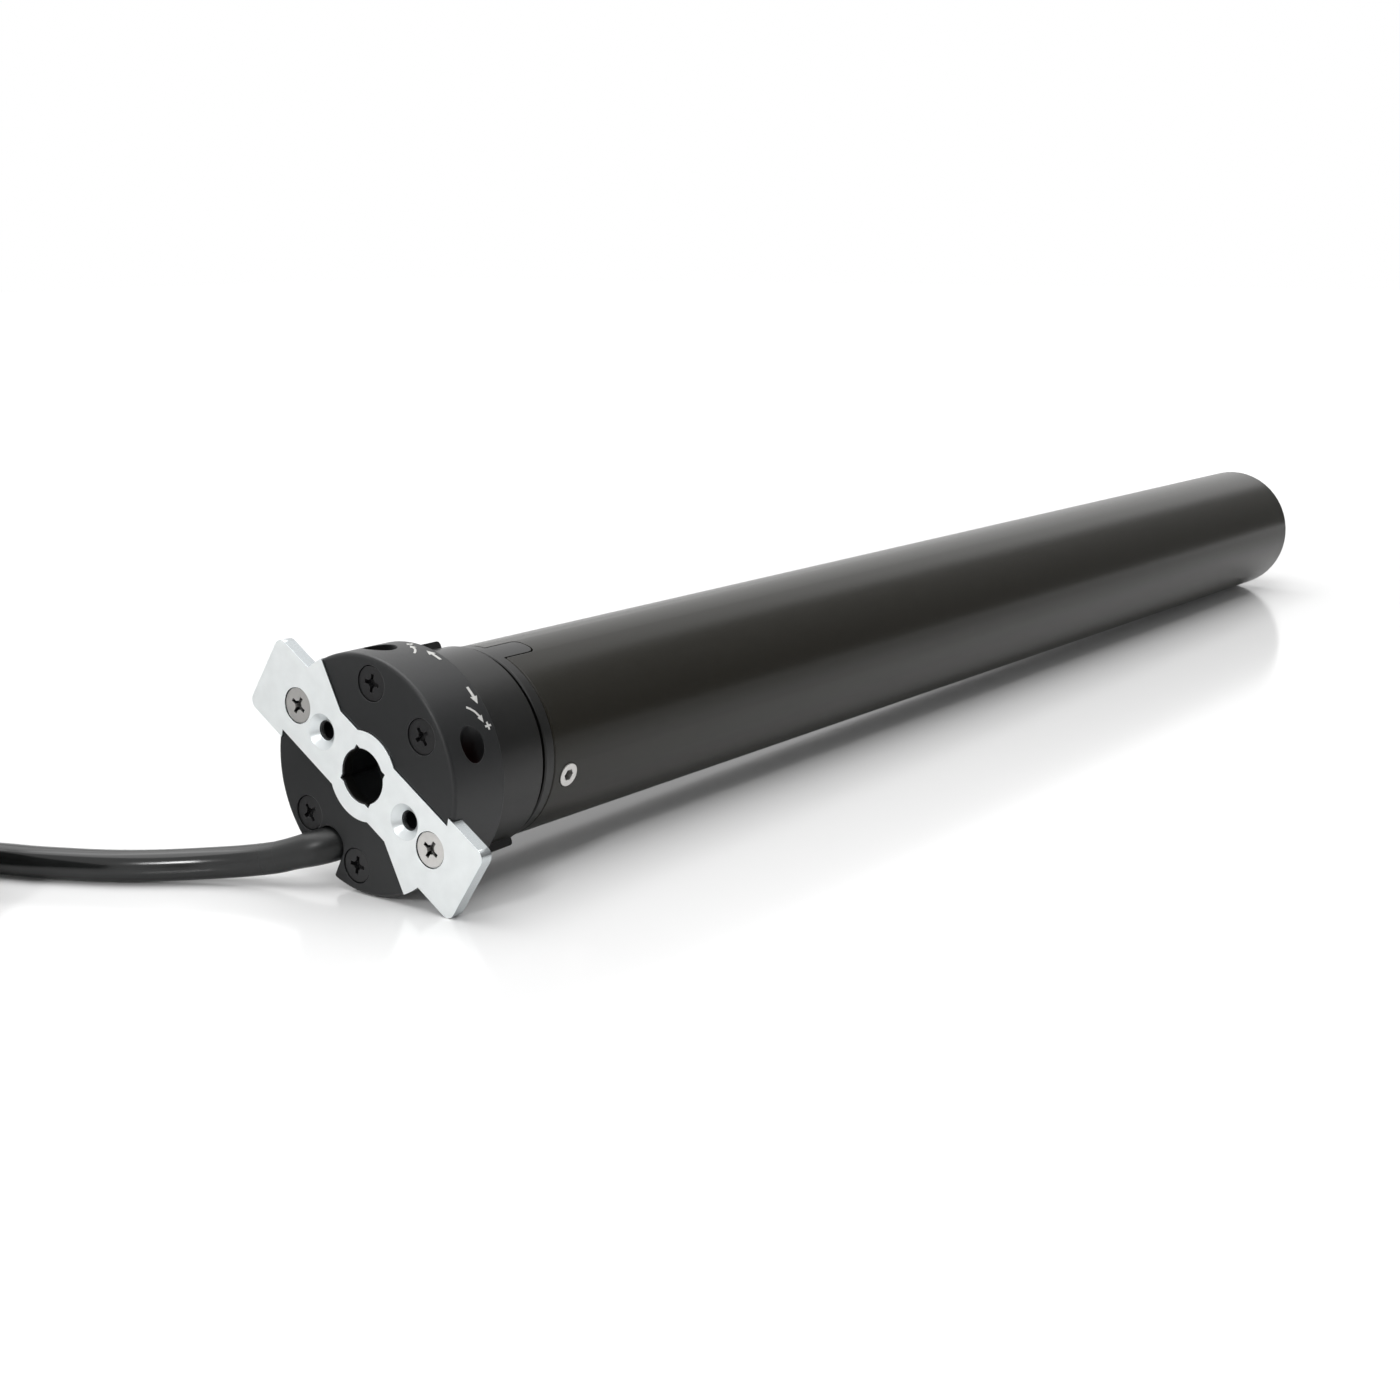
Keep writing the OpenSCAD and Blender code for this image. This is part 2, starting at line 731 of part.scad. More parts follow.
module counter_axle() {
  color("#a9acae") lay() translate(wheel_at)
    at(head_len - 2.2) cylinder(r = axle_r, h = cover_s0 + cover_t - head_len + 2);
}

// Microswitch with a bent lever towards the counter wheel's cam
module limit_switch(s, cam_s) {
  reach = wheel_at[0] + cam_r + 0.3;
  face = switch_at[0];
  low = switch_at[1];
  translate([face, low, s]) cube(switch_size);
  translate([face - 1.2, low + 5, cam_s]) cube([1.3, 1.6, lever_t]);
  at(cam_s) linear_extrude(lever_t) polygon([
    [face + 0.1, low + 0.4], [face + 0.1, low + 0.9], [face - 1.6, low + 1.2],
    [reach + 0.4, low + 6.8], [reach, low + 6.6], [face - 1.8, low + 0.8]
  ]);
}

module limit_switch_up() {
  color("#22242a") lay() limit_switch(switch_s[0], wheel_s[0] + wheel_gear_t + 0.15);
}

module limit_switch_down() {
  color("#22242a") lay() limit_switch(switch_s[1], wheel_s[1] + wheel_gear_t + 0.15);
}

module limit_cover() {
  color("#5a5d60") lay() at(cover_s0) difference() {
    cylinder(r = boss_bore - seat_gap, h = cover_t);
    translate(pinion_at) at(-1) cylinder(r = pinion_shaft_r + shaft_gap, h = cover_t + 2);
    translate(wheel_at) at(-1) cylinder(r = axle_r + shaft_gap, h = cover_t + 2);
    translate([0, plug_w, -1]) cylinder(r = plug_half, h = cover_t + 2);
  }
}

// Front end of the tube
module tube_screw_places() {
  for (t = [90, 270]) rotate(tongue_angle + t)
    translate([0, 0, tube_s0 + tube_screw_s]) rotate([0, 90, 0]) children();
}

// Outline of the tongue, seen along the tube's radius: +y runs along the axis
module tongue_outline(g) {
  half = tongue_w / 2 + g;
  round = tongue_w / 3;
  end = band_s1 + tongue_len + g;
  translate([-half, band_s1 - 1]) square([2 * half, end - round - band_s1 + 1]);
  translate([round - half, end - round - 1]) square([2 * (half - round), round + 1]);
  for (t = [-1, 1]) translate([t * (half - round), end - round]) circle(r = round);
}

module tongue(r_in, r_out, g) {
  intersection() {
    at(band_s1 - 2) pipe(r_out, r_in, tongue_len + 4);
    rotate(tongue_angle - 90) rotate([90, 0, 180])
      linear_extrude(r_out + 1) tongue_outline(g);
  }
}

// Pipe with both outer edges broken
module edged_pipe(r, bore, h) {
  rotate_extrude() polygon([
    [bore, 0], [r - tube_edge, 0], [r, tube_edge],
    [r, h - tube_edge], [r - tube_edge, h], [bore, h]
  ]);
}

module tube_plug() {
  color("#2a2a2a") lay() difference() {
    union() {
      at(plug_s0) cylinder(r = journal_r, h = plug_s1 - plug_s0);
      at(band_s0) edged_pipe(tube_r, plug_bore - 1, band_len);
      at(band_s0) cylinder(r = liner_r, h = plug_s1 - band_s0);
      tongue(liner_r - 0.5, tube_r, 0);
    }
    at(plug_s0 - 1) cylinder(r = plug_bore, h = plug_s1);
    tube_screw_places() cylinder(r = tube_screw_shank + seat_gap, h = tube_r);
  }
}

module tube_screws() {
  head_in = liner_r + shaft_gap;
  color("#c4c6c8") lay() tube_screw_places() difference() {
    union() {
      at(tube_screw_end) cylinder(r = tube_screw_shank, h = head_in - tube_screw_end + 0.5);
      at(head_in) cylinder(d = tube_screw_d, h = tube_r + 0.2 - head_in);
    }
    at(tube_r - tube_screw_socket)
      cylinder(d = tube_screw_hex, h = tube_screw_socket + 1, $fn = 6);
  }
}

module motor_tube() {
  color("#1f1f1e") lay() difference() {
    at(tube_s0) edged_pipe(tube_r, tube_bore, tube_len);
    tongue(tube_bore - 1, tube_r + 1, tongue_gap);
    tube_screw_places() cylinder(r = tube_screw_d / 2 + seat_gap, h = tube_r + 1);
  }
}

// Motor
module capacitor() {
  color("#d7d9da") lay() at(capacitor_s0) {
    rotate_extrude() polygon([
      [0, 0], [capacitor_r - capacitor_edge, 0], [capacitor_r, capacitor_edge],
      [capacitor_r, capacitor_len], [0, capacitor_len]
    ]);
    for (t = [-1, 1]) translate([t * tab_u - tab[0] / 2, -tab[1] / 2, capacitor_len - seat_gap]) cube(tab);
  }
}

module capacitor_rings() {
  color("#303234") lay() difference() {
    for (s = [pad_len / 2, capacitor_len - 1.5 * pad_len])
      at(capacitor_s0 + s) pipe(liner_r, capacitor_r + seat_gap, pad_len);
    lead_notch();
  }
}

module lead_notch() {
  translate([-lead_half, lead_w - lead_r - body_gap, plug_s1])
    cube([2 * lead_half, tube_r, rear_shield_s1 - plug_s1 + 1]);
}

module motor_leads() {
  color("#7a4a2c") lay() for (u = [-3, -1, 1, 3])
    translate([u, lead_w, lead_s0]) cylinder(r = lead_r, h = lead_s1 - lead_s0, $fn = 16);
}

// Bearing shield: the bearing sits against a lip at its outer side
module shield(s, lip_at_front) {
  at(s) difference() {
    cylinder(r = liner_r, h = shield_t);
    at(lip_at_front ? shield_lip : -1)
      cylinder(d = bearing_d + 2 * shaft_gap, h = shield_t + 1 - shield_lip);
    at(-1) cylinder(d = bearing_d - 4, h = shield_t + 2);
    for (t = [0 : 60 : 300]) rotate(t)
      translate([(bearing_d / 2 + liner_r) / 2, 0, -1]) cylinder(r = 2.4, h = shield_t + 2);
  }
}

module bearing(s) {
  groove = (bearing_d / 2 + shaft_r) / 2;
  at(s) difference() {
    pipe(bearing_d / 2, shaft_r + shaft_gap, bearing_w);
    for (z = [-0.5, bearing_w - 0.5]) at(z) pipe(groove + 1.8, groove - 1.8, 1);
  }
}

module rear_shield() {
  color("#9a9da0") lay() difference() {
    shield(rear_shield_s0, true);
    lead_notch();
  }
}

module rear_bearing() {
  color("#b9bcbe") lay() bearing(rear_shield_s0 + shield_lip + seat_gap);
}

module stator_slots(half, mouth, grow) {
  for (t = [1 : slots]) rotate((t + 0.5) * 360 / slots) {
    translate([slot_in_r - grow, -half]) square([slot_out_r - slot_in_r + 2 * grow, 2 * half]);
    if (mouth > 0) translate([rotor_r - 1, -mouth]) square([slot_in_r - rotor_r + 2, 2 * mouth]);
  }
}

module stator_core() {
  color("#6f7478") lay() at(stator_s0) linear_extrude(stator_len) difference() {
    circle(r = liner_r);
    circle(r = rotor_r + air_gap);
    stator_slots(slot_half, slot_mouth, 0);
  }
}

module stator_windings() {
  end_in = slot_in_r - 0.4;
  end_out = slot_out_r + 0.4;
  color("#b5713c") lay() {
    at(stator_s0 - slot_liner) linear_extrude(stator_len + 2 * slot_liner)
      stator_slots(slot_half - seat_gap, 0, -seat_gap);
    for (s = [stator_s0 - winding_out, stator_s1 + 0.4]) at(s) rotate_extrude() polygon([
      [end_in, 1.5], [end_in + 1.5, 0], [end_out - 1.5, 0], [end_out, 1.5],
      [end_out, winding_out - 1.9], [end_out - 1.5, winding_out - 0.4],
      [end_in + 1.5, winding_out - 0.4], [end_in, winding_out - 1.9]
    ]);
  }
}

module rotor_core() {
  color("#84898c") lay() at(stator_s0) pipe(rotor_r, shaft_r + shaft_gap, stator_len);
}

module rotor_cage() {
  color("#c9ccce") lay() for (s = [stator_s0 - 6 - shaft_gap, stator_s1 + shaft_gap])
    at(s) pipe(rotor_r - 0.8, shaft_r + 2.5, 6);
}

module rotor_shaft() {
  sun_s0 = gear_s0 + stage_s[0] - 2;
  color("#a7abae") lay() {
    at(shaft_s0) cylinder(r = shaft_r, h = sun_s0 - shaft_s0);
    at(spring_seat_s0) cylinder(r = spring_r + 2, h = spring_seat_t);
    at(sun_s0 - 1) outer_gear(sun_teeth, gear_m, planet_w[0] + 3);
  }
}

module front_shield() {
  color("#9a9da0") lay() shield(front_shield_s0, false);
}

module front_bearing() {
  color("#b9bcbe") lay() bearing(front_shield_s0);
}

// Brake
module brake_spring() {
  steps = 14 * spring_turns;
  rise = spring_len - 2 * spring_wire;
  color("#8d9194") lay() sweep([
    for (i = [0 : steps]) [
      spring_r * cos(i * 360 / 14), spring_r * sin(i * 360 / 14),
      spring_s0 + spring_wire + rise * i / steps
    ]
  ], spring_wire, 8);
}

module brake_disc() {
  color("#7d8285") lay() at(brake_disc_s0) difference() {
    union() {
      cylinder(r = spring_r + 2.5, h = brake_disc_t);
      at(brake_disc_t - 4) cylinder(r = brake_r, h = 4);
    }
    at(-1) cylinder(r = shaft_r + shaft_gap, h = brake_disc_t + 2);
  }
}

module brake_lining() {
  color("#4a3d33") lay() at(lining_s0) pipe(brake_r, lining_in_r, lining_t);
}

module brake_plate() {
  color("#9a9da0") lay() at(brake_plate_s0) pipe(liner_r, shaft_r + 1.5, brake_plate_t);
}

// Gearbox
module ring_gear() {
  color("#7f8487") lay() at(gear_s0) difference() {
    cylinder(r = liner_r, h = gear_len);
    at(-1) inner_gear_hole(annulus_teeth, gear_m, gear_len + 2);
  }
}

module planet(stage, place) {
  a = place * 360 / planets;
  lay() rotate(a) translate([planet_orbit, 0, gear_s0 + stage_s[stage]]) difference() {
    rotate(-a * annulus_teeth / planet_teeth) outer_gear(planet_teeth, gear_m, planet_w[stage]);
    at(-1) cylinder(d = planet_pin_d + 2 * shaft_gap, h = planet_w[stage] + 2);
  }
}

// Carrier plate with its planets' pins in front of it
module carrier(stage) {
  s = gear_s0 + stage_s[stage];
  plate_s = s + planet_w[stage] + stage_gap;
  at(plate_s) cylinder(r = carrier_r, h = carrier_t[stage]);
  for (i = [0 : planets - 1]) rotate(i * 360 / planets)
    translate([planet_orbit, 0, s + 0.4]) cylinder(d = planet_pin_d, h = plate_s - s);
}

module sun_on_carrier(stage) {
  s = gear_s0 + stage_s[stage + 1] - stage_gap - 1;
  at(s) outer_gear(sun_teeth, gear_m, planet_w[stage + 1] + stage_gap + 1);
}

module stage_1_planet_a() {
  color("#b7babc") planet(0, 0);
}

module stage_1_planet_b() {
  color("#b7babc") planet(0, 1);
}

module stage_1_planet_c() {
  color("#b7babc") planet(0, 2);
}

module stage_1_carrier() {
  color("#8f9497") lay() {
    carrier(0);
    sun_on_carrier(0);
  }
}

module stage_2_planet_a() {
  color("#b7babc") planet(1, 0);
}

module stage_2_planet_b() {
  color("#b7babc") planet(1, 1);
}

module stage_2_planet_c() {
  color("#b7babc") planet(1, 2);
}

module stage_2_carrier() {
  color("#8f9497") lay() {
    carrier(1);
    sun_on_carrier(1);
  }
}

module stage_3_planet_a() {
  color("#b7babc") planet(2, 0);
}

module stage_3_planet_b() {
  color("#b7babc") planet(2, 1);
}

module stage_3_planet_c() {
  color("#b7babc") planet(2, 2);
}

module output_shaft() {
  color("#a7abae") lay() difference() {
    union() {
      carrier(2);
      at(gear_s1 - 1) cylinder(r = output_r, h = clip_s0 - gear_s1 + 1);
      at(clip_s0 - 1) cylinder(r = output_r - clip_groove, h = clip_t + 2);
      at(clip_s0 + clip_t + seat_gap) linear_extrude(output_s1 - clip_s0 - clip_t - seat_gap)
        intersection() {
          circle(r = output_r);
          square(output_square, center = true);
        }
    }
    at(output_s1 - output_tap_len) cylinder(d = output_tap_d, h = output_tap_len + 1);
  }
}

module output_bushes() {
  color("#b08d57") lay() {
    at(cap_s0 + seat_gap) pipe(output_r + bush_t, output_r + shaft_gap, bush_len);
    at(cap_s1 - bush_len) pipe(output_r + bush_t, output_r + shaft_gap, bush_len);
    at(cap_s1 + shaft_gap / 2) pipe(output_r + bush_t + 2, output_r + shaft_gap, bush_flange);
    at(cap_s1 - 1) pipe(output_r + bush_t, output_r + shaft_gap, 2);
  }
}

// Cover at the tube's far end: hub, outer wall and ribs, open to the gearbox
module gearbox_cover() {
  hub_r = output_r + bush_t + 2.5;
  wall_r = liner_r - 2.5;
  web = 6;
  color("#8b8f92") lay() difference() {
    at(cap_s0) cylinder(r = liner_r, h = cover_len);
    at(cap_s0 - 1) cylinder(r = output_r + bush_t + shaft_gap, h = cover_len + 2);
    difference() {
      at(cap_s0 - 1) pipe(wall_r, hub_r, cover_len - web + 1);
      for (t = [0 : 60 : 300]) rotate(t) translate([0, -1, cap_s0]) cube([tube_r, 2, cover_len]);
    }
    at(cap_s1 - 1) pipe(wall_r + 0.5, hub_r, 2);
  }
}

module output_circlip() {
  color("#4d5053") lay() at(clip_s0 + seat_gap / 2) difference() {
    pipe(output_r + 2.2, output_r - clip_groove + shaft_gap, clip_t - seat_gap);
    translate([0, -3, -1]) cube([output_d, 6, clip_t + 2]);
  }
}

// Cable
module elbow_bend(r) {
  middle = elbow_bend_r * [0, cos(elbow_lean), sin(elbow_lean)];
  translate(elbow_corner + [elbow_back, 0, 0] + middle)
    rotate([elbow_lean, 0, 0]) rotate([180, 0, -90])
      rotate_extrude(angle = elbow_turn) translate([elbow_bend_r, 0]) circle(r = r);
}

module cable_elbow() {
  inner = elbow_s + elbow_back - elbow_lap;
  color("#18191a") {
    elbow_bend(elbow_r);
    rod(elbow_start, elbow_end, elbow_r + shaft_gap, cable_r + seat_gap);
    lay() {
      translate([0, -slot_reach, inner])
        cylinder(r = elbow_r + shaft_gap, h = slot_floor - inner - 0.2);
      translate([0.2 - elbow_r, -slot_reach, 6])
        cube([2 * elbow_r - 0.4, slot_reach + plug_w + plug_half, slot_floor - 6.4]);
      translate([-plug_half * 1.6, plug_w - plug_half, 7])
        cube([plug_half * 3.2, plug_half * 2, head_len - 3]);
    }
  }
}

module cable_lead() {
  color("#141516") sweep(lead_route, cable_r, 10);
}

// On the table at the coil's middle, turned to the table's slope
module on_coil() {
  translate([coil_at[0], coil_at[1], table_z(coil_at[0])]) rotate([0, -rest_tilt, 0]) children();
}

module cable_coil() {
  edge = cable_r * 0.6;
  low = tie_t;
  color("#141516") on_coil() difference() {
    rotate_extrude() polygon([
      [coil_mid - coil_half, low + edge], [coil_mid - coil_half + edge, low],
      [coil_mid + coil_half - edge, low], [coil_mid + coil_half, low + edge],
      [coil_mid + coil_half, coil_top - edge], [coil_mid + coil_half - edge, coil_top],
      [coil_mid - coil_half + edge, coil_top], [coil_mid - coil_half, coil_top - edge]
    ]);
    rotate(coil_start) translate([coil_outer - cable_r - 0.5, -30, -1])
      cube([30, 30, 1 + tie_t + cable_d + 0.2]);
  }
}

function on_top(r, a, h) = [r * cos(a), r * sin(a), coil_top + h];

module cable_tail() {
  color("#141516") on_coil() sweep([
    for (a = [tail_turn[0] : 8 : tail_turn[1]]) on_top(coil_mid, a, cable_r + shaft_gap)
  ], cable_r, 10);
}

module coil_tie() {
  half = coil_half + 0.2;
  color("#1b1b1c") on_coil() rotate(tie_angle) translate([coil_mid, tie_w / 2, 0])
    rotate([90, 0, 0]) linear_extrude(tie_w) difference() {
      translate([-half - tie_t, 0]) square([2 * (half + tie_t), coil_top + tie_t + shaft_gap]);
      translate([-half, tie_t - shaft_gap]) square([2 * half, coil_h + 2 * shaft_gap]);
    }
}

// Stripped cores that come out of the sheath and lie on the coil's turns
function core_path(i, t0, t1) = [
  for (k = [0 : 8])
    let (
      a = k == 0 ? t0 : t0 + core_stub + (t1 - t0 - core_stub) * (k - 1) / 7,
      out = (a - tail_turn[1] - core_stub) / core_strip,
      apart = min(1, max(0, out)),
      down = min(1, max(0, out - 1))
    )
    on_top(
      coil_mid + (i % 2 == 0 ? -1 : 1) * (1.2 + (i < 2 ? 3.2 : 0.4) * apart),
      a,
      core_d / 2 + shaft_gap + (cable_r - core_d / 2 + (i < 2 ? 1.2 : -1.2)) * (1 - down)
    )
];

module cable_cores() {
  color("#6b4a35") on_coil() for (i = [0 : 3])
    sweep(core_path(i, tail_turn[1] + core_apart, tail_turn[1] + core_turn), core_d / 2, 8);
}

module core_ferrules() {
  t0 = tail_turn[1] + core_turn;
  color("#c4c6c8") on_coil() for (i = [0 : 3])
    sweep(core_path(i, t0 + 0.1, t0 + ferrule_turn), core_d / 2 - 0.3, 8);
}

fixing_plate();
plate_screws();
head_cup();
head_screws();
limit_screw_up();
limit_screw_down();
adjuster_wheel_up();
adjuster_wheel_down();
limit_frame();
limit_ring();
limit_pinion();
counter_wheel_up();
counter_wheel_down();
counter_axle();
limit_switch_up();
limit_switch_down();
limit_cover();
tube_plug();
tube_screws();
motor_tube();
capacitor();
capacitor_rings();
motor_leads();
rear_shield();
rear_bearing();
stator_core();
stator_windings();
rotor_core();
rotor_cage();
rotor_shaft();
front_shield();
front_bearing();
brake_spring();
brake_disc();
brake_lining();
brake_plate();
ring_gear();
stage_1_planet_a();
stage_1_planet_b();
stage_1_planet_c();
stage_1_carrier();
stage_2_planet_a();
stage_2_planet_b();
stage_2_planet_c();
stage_2_carrier();
stage_3_planet_a();
stage_3_planet_b();
stage_3_planet_c();
output_shaft();
output_bushes();
gearbox_cover();
output_circlip();
cable_elbow();
cable_lead();
cable_coil();
cable_tail();
coil_tie();
cable_cores();
core_ferrules();
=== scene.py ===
import json
import math

import bmesh
import bpy
from mathutils import Euler, Matrix, Vector


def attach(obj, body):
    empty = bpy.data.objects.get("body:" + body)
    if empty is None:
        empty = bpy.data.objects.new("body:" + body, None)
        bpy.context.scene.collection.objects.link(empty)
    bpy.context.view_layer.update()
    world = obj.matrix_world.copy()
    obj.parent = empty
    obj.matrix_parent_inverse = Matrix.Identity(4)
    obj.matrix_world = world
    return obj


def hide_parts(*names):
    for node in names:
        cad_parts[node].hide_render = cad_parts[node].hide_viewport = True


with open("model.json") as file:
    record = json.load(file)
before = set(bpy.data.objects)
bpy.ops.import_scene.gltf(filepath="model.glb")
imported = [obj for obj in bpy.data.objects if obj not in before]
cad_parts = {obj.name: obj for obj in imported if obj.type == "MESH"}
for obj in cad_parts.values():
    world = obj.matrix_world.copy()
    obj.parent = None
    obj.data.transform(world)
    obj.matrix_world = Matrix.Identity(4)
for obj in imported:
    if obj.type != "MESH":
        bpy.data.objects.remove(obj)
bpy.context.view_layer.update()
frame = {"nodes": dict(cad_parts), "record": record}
scene = bpy.context.scene
scene.view_settings.view_transform = "Standard"
nodes = frame["nodes"]
MM = 0.001

# Sizes that the scene shares with the part's source, in millimetres and degrees
HEAD_R, HEAD_LEN = 27.0, 15.6
TUBE_R, TUBE_END = 22.5, 475.3
SHAFT_OUT = 19.0
PLATE_T = 3.0
PIN_R, PIN_HALF = 6.25, 5.0
TAPPED_AT = 14.7
SLOT_AT = -21.0
ROLL = 33.43333
SLOPE = (HEAD_R - TUBE_R) / (TUBE_END - HEAD_LEN)
AXIS = Vector((1, 0, 0))


def table_z(x):
    """Height of the table that the motor lies on."""
    return -HEAD_R + SLOPE * (x - HEAD_LEN)


def placed(u, w, s):
    """A point of the head's own frame (along the plate, away from the cable, along the axis)."""
    c, d = math.cos(math.radians(ROLL)), math.sin(math.radians(ROLL))
    return Vector((s, u * c - w * d, u * d + w * c))


def add(obj):
    scene.collection.objects.link(obj)
    return obj


# Camera at the photograph's place: millimetres, degrees, and the focal length in the photo's pixels
EYE = Vector((-287.23, -307.47, 111.68))
AIM = Euler([math.radians(a) for a in (77.0928, 0.1253, -53.0362)])
FOCAL, PHOTO_SIDE, SENSOR = 1992.32, 1400, 36.0
CLIP_START = 10.0
cam_data = bpy.data.cameras.new("camera")
cam_data.sensor_width = SENSOR
cam_data.lens = FOCAL * SENSOR / PHOTO_SIDE
cam_data.clip_start = CLIP_START * MM
camera = add(bpy.data.objects.new("camera", cam_data))
camera.matrix_world = Matrix.Translation(EYE * MM) @ AIM.to_matrix().to_4x4()
scene.camera = camera


def smooth_route(points, steps):
    """Points on a smooth curve through the given ones."""
    p = [Vector(q) for q in points]
    p = [2 * p[0] - p[1]] + p + [2 * p[-1] - p[-2]]
    out = []
    for a, b, c, d in zip(p, p[1:], p[2:], p[3:]):
        for k in range(steps):
            t = k / steps
            out.append(0.5 * (2 * b + (c - a) * t + (2 * a - 5 * b + 4 * c - d) * t * t
                              + (3 * b - a - 3 * c + d) * t ** 3))
    return out + [p[-2]]


def ease(t):
    """A smooth step from 0 to 1."""
    t = min(1.0, max(0.0, t))
    return t * t * t * (t * (6 * t - 15) + 10)


def add_line(data, points, widths=None):
    line = data.splines.new("POLY")
    line.points.add(len(points) - 1)
    for point, p in zip(line.points, points):
        point.co = (*(p * MM), 1)
    if widths:
        for point, width in zip(line.points, widths):
            point.radius = width
    line.use_smooth = True


def curve(name, points, diameter, sides, widths=None, twist="Z_UP"):
    """A round tube along a line of points; widths scale it point by point."""
    data = bpy.data.curves.new(name, "CURVE")
    data.dimensions = "3D"
    data.bevel_depth = diameter / 2 * MM
    data.bevel_resolution = sides
    data.twist_mode = twist
    data.use_fill_caps = True
    add_line(data, points, widths)
    return add(bpy.data.objects.new(name, data))


# Supply cable: the lead's points are those of the part's source
CABLE_D, CABLE_SIDES = 7.2, 8
ELBOW_DIR = Vector((-0.45, 0.87, -0.28)).normalized()
ELBOW_S, ELBOW_LEN = 0.5, 7.0
LEAD_GAP, LEAD_STRAIGHT = 0.02, 6.0
elbow_corner = placed(0, SLOT_AT, ELBOW_S)
elbow_end = elbow_corner + ELBOW_LEN * ELBOW_DIR
lead = [elbow_end + s * ELBOW_DIR for s in (LEAD_GAP, LEAD_STRAIGHT)]
lead += [Vector(p) for p in (
    (-9, 30, -22.4), (-13.5, 37, -23.1), (-18.8, 44, -23.5), (-23.8, 51, -23.7),
    (-27.6, 57.5, -23.8), (-30.8, 63.6, -23.8), (-34.2, 70.6, -23.8), (-36.8, 77.4, -23.8),
    (-40.3, 85.2, -23.8), (-44.8, 94, -23.6))]
LEAD_STEPS, COIL_STEP = 4, 6

# Coil: the radii of its lanes, the room for the tie under it, and angles along its turns
COIL_AT, COIL_LAYERS = (-93.0, 91.0), 3
INNER, OUTER = 36.4, 43.6
MIDDLE = (INNER + OUTER) / 2
TIE_T = 0.8
COIL_TOP = TIE_T + COIL_LAYERS * CABLE_D
COIL_START, FULL_TURNS, SHEATH_END = 28, 5 * 360, 236
TAIL_END = FULL_TURNS + SHEATH_END

# Changes of lane: where the first begins, from one to the next, the length of each,
# and the radius and layer that each leads to
LANE_FIRST, LANE_APART, LANE_STEP = 333, 305, 55.0
LANES = [(INNER, 0), (INNER, 1), (OUTER, 1), (OUTER, 2), (INNER, 2), (MIDDLE, 3)]
tilt = Matrix.Rotation(-math.atan(SLOPE), 3, "Y")
coil_origin = Vector((*COIL_AT, table_z(COIL_AT[0])))


def on_coil(radius, angle, height):
    a = math.radians(angle)
    return coil_origin + tilt @ Vector((radius * math.cos(a), radius * math.sin(a), height))


def coil_point(angle):
    radius, layer = OUTER, 0.0
    for k, (lane_radius, lane_layer) in enumerate(LANES):
        done = ease((angle - LANE_FIRST - LANE_APART * k) / LANE_STEP)
        radius += (lane_radius - radius) * done
        layer += (lane_layer - layer) * done
    return on_coil(radius, angle, TIE_T + CABLE_D * (layer + 0.5))


route = smooth_route(lead + [coil_point(COIL_START)], LEAD_STEPS)[:-1]
route += [coil_point(a) for a in range(COIL_START, TAIL_END, COIL_STEP)] + [coil_point(TAIL_END)]
cable = curve("supply_cable", route, CABLE_D, CABLE_SIDES)

# Bend of the cable into the head's slot, a little thicker where it fills the slot
BEND_R, BEND_END = 8.0, 12.5
SLOT_FIT, SHEATH_FIT = 1.12, 1.003
BEND_ROOT = (10.5, 9, 7.5)
BEND_STEPS, TAPER_STEPS = 16, 26
inward = Vector((0, ELBOW_DIR.y, ELBOW_DIR.z)).normalized()
bend_turn = math.acos(-ELBOW_DIR.x)
bend_back = BEND_R * math.tan(bend_turn / 2)
bend_middle = elbow_corner + AXIS * bend_back + inward * BEND_R
bend_route = [placed(0, SLOT_AT, s) for s in BEND_ROOT]
for k in range(BEND_STEPS + 1):
    a = bend_turn * k / BEND_STEPS
    bend_route.append(bend_middle - BEND_R * (inward * math.cos(a) + AXIS * math.sin(a)))
for k in range(1, BEND_STEPS + 1):
    run = bend_back + (BEND_END - bend_back) * k / BEND_STEPS
    bend_route.append(elbow_corner + run * ELBOW_DIR)
bend_widths = [SLOT_FIT] * (len(bend_route) - TAPER_STEPS)
for k in range(1, TAPER_STEPS + 1):
    bend_widths.append(SLOT_FIT + (SHEATH_FIT - SLOT_FIT) * ease(k / TAPER_STEPS))
bend = curve("cable_bend", bend_route, CABLE_D, CABLE_SIDES, bend_widths)


# Shader nodes
def feed(tree, socket, value):
    """Gives a socket a value, or links it to the output that it takes its value from."""
    if isinstance(value, bpy.types.NodeSocket):
        tree.links.new(value, socket)
    else:
        socket.default_value = value


def shader_node(tree, kind, inputs=None, **settings):
    """A new node with its settings, and with its sockets fed by name or number."""
    made = tree.nodes.new(kind)
    for name, value in settings.items():
        setattr(made, name, value)
    for socket, value in (inputs or {}).items():
        feed(tree, made.inputs[socket], value)
    return made


def maths(tree, operation, *values):
    made = shader_node(tree, "ShaderNodeMath", dict(enumerate(values)), operation=operation)
    return made.outputs["Value"]


def vectors(tree, operation, output, *values):
    made = shader_node(tree, "ShaderNodeVectorMath", dict(enumerate(values)), operation=operation)
    return made.outputs[output]


def spread(tree, value, source, target, smooth=False):
    """A value in the range source, brought to the range target and held at its ends."""
    sockets = {"Value": value, "From Min": source[0], "From Max": source[1],
               "To Min": target[0], "To Max": target[1]}
    kind = "SMOOTHERSTEP" if smooth else "LINEAR"
    return shader_node(tree, "ShaderNodeMapRange", sockets, interpolation_type=kind).outputs["Result"]


# Sockets of the Mix node, by number because their names repeat
FACTOR, NUMBER_A, NUMBER_B, COLOUR_A, COLOUR_B = 0, 2, 3, 6, 7
NUMBER_OUT, COLOUR_OUT = 0, 2


def mix_numbers(tree, share, a, b):
    made = shader_node(tree, "ShaderNodeMix", {FACTOR: share, NUMBER_A: a, NUMBER_B: b})
    return made.outputs[NUMBER_OUT]


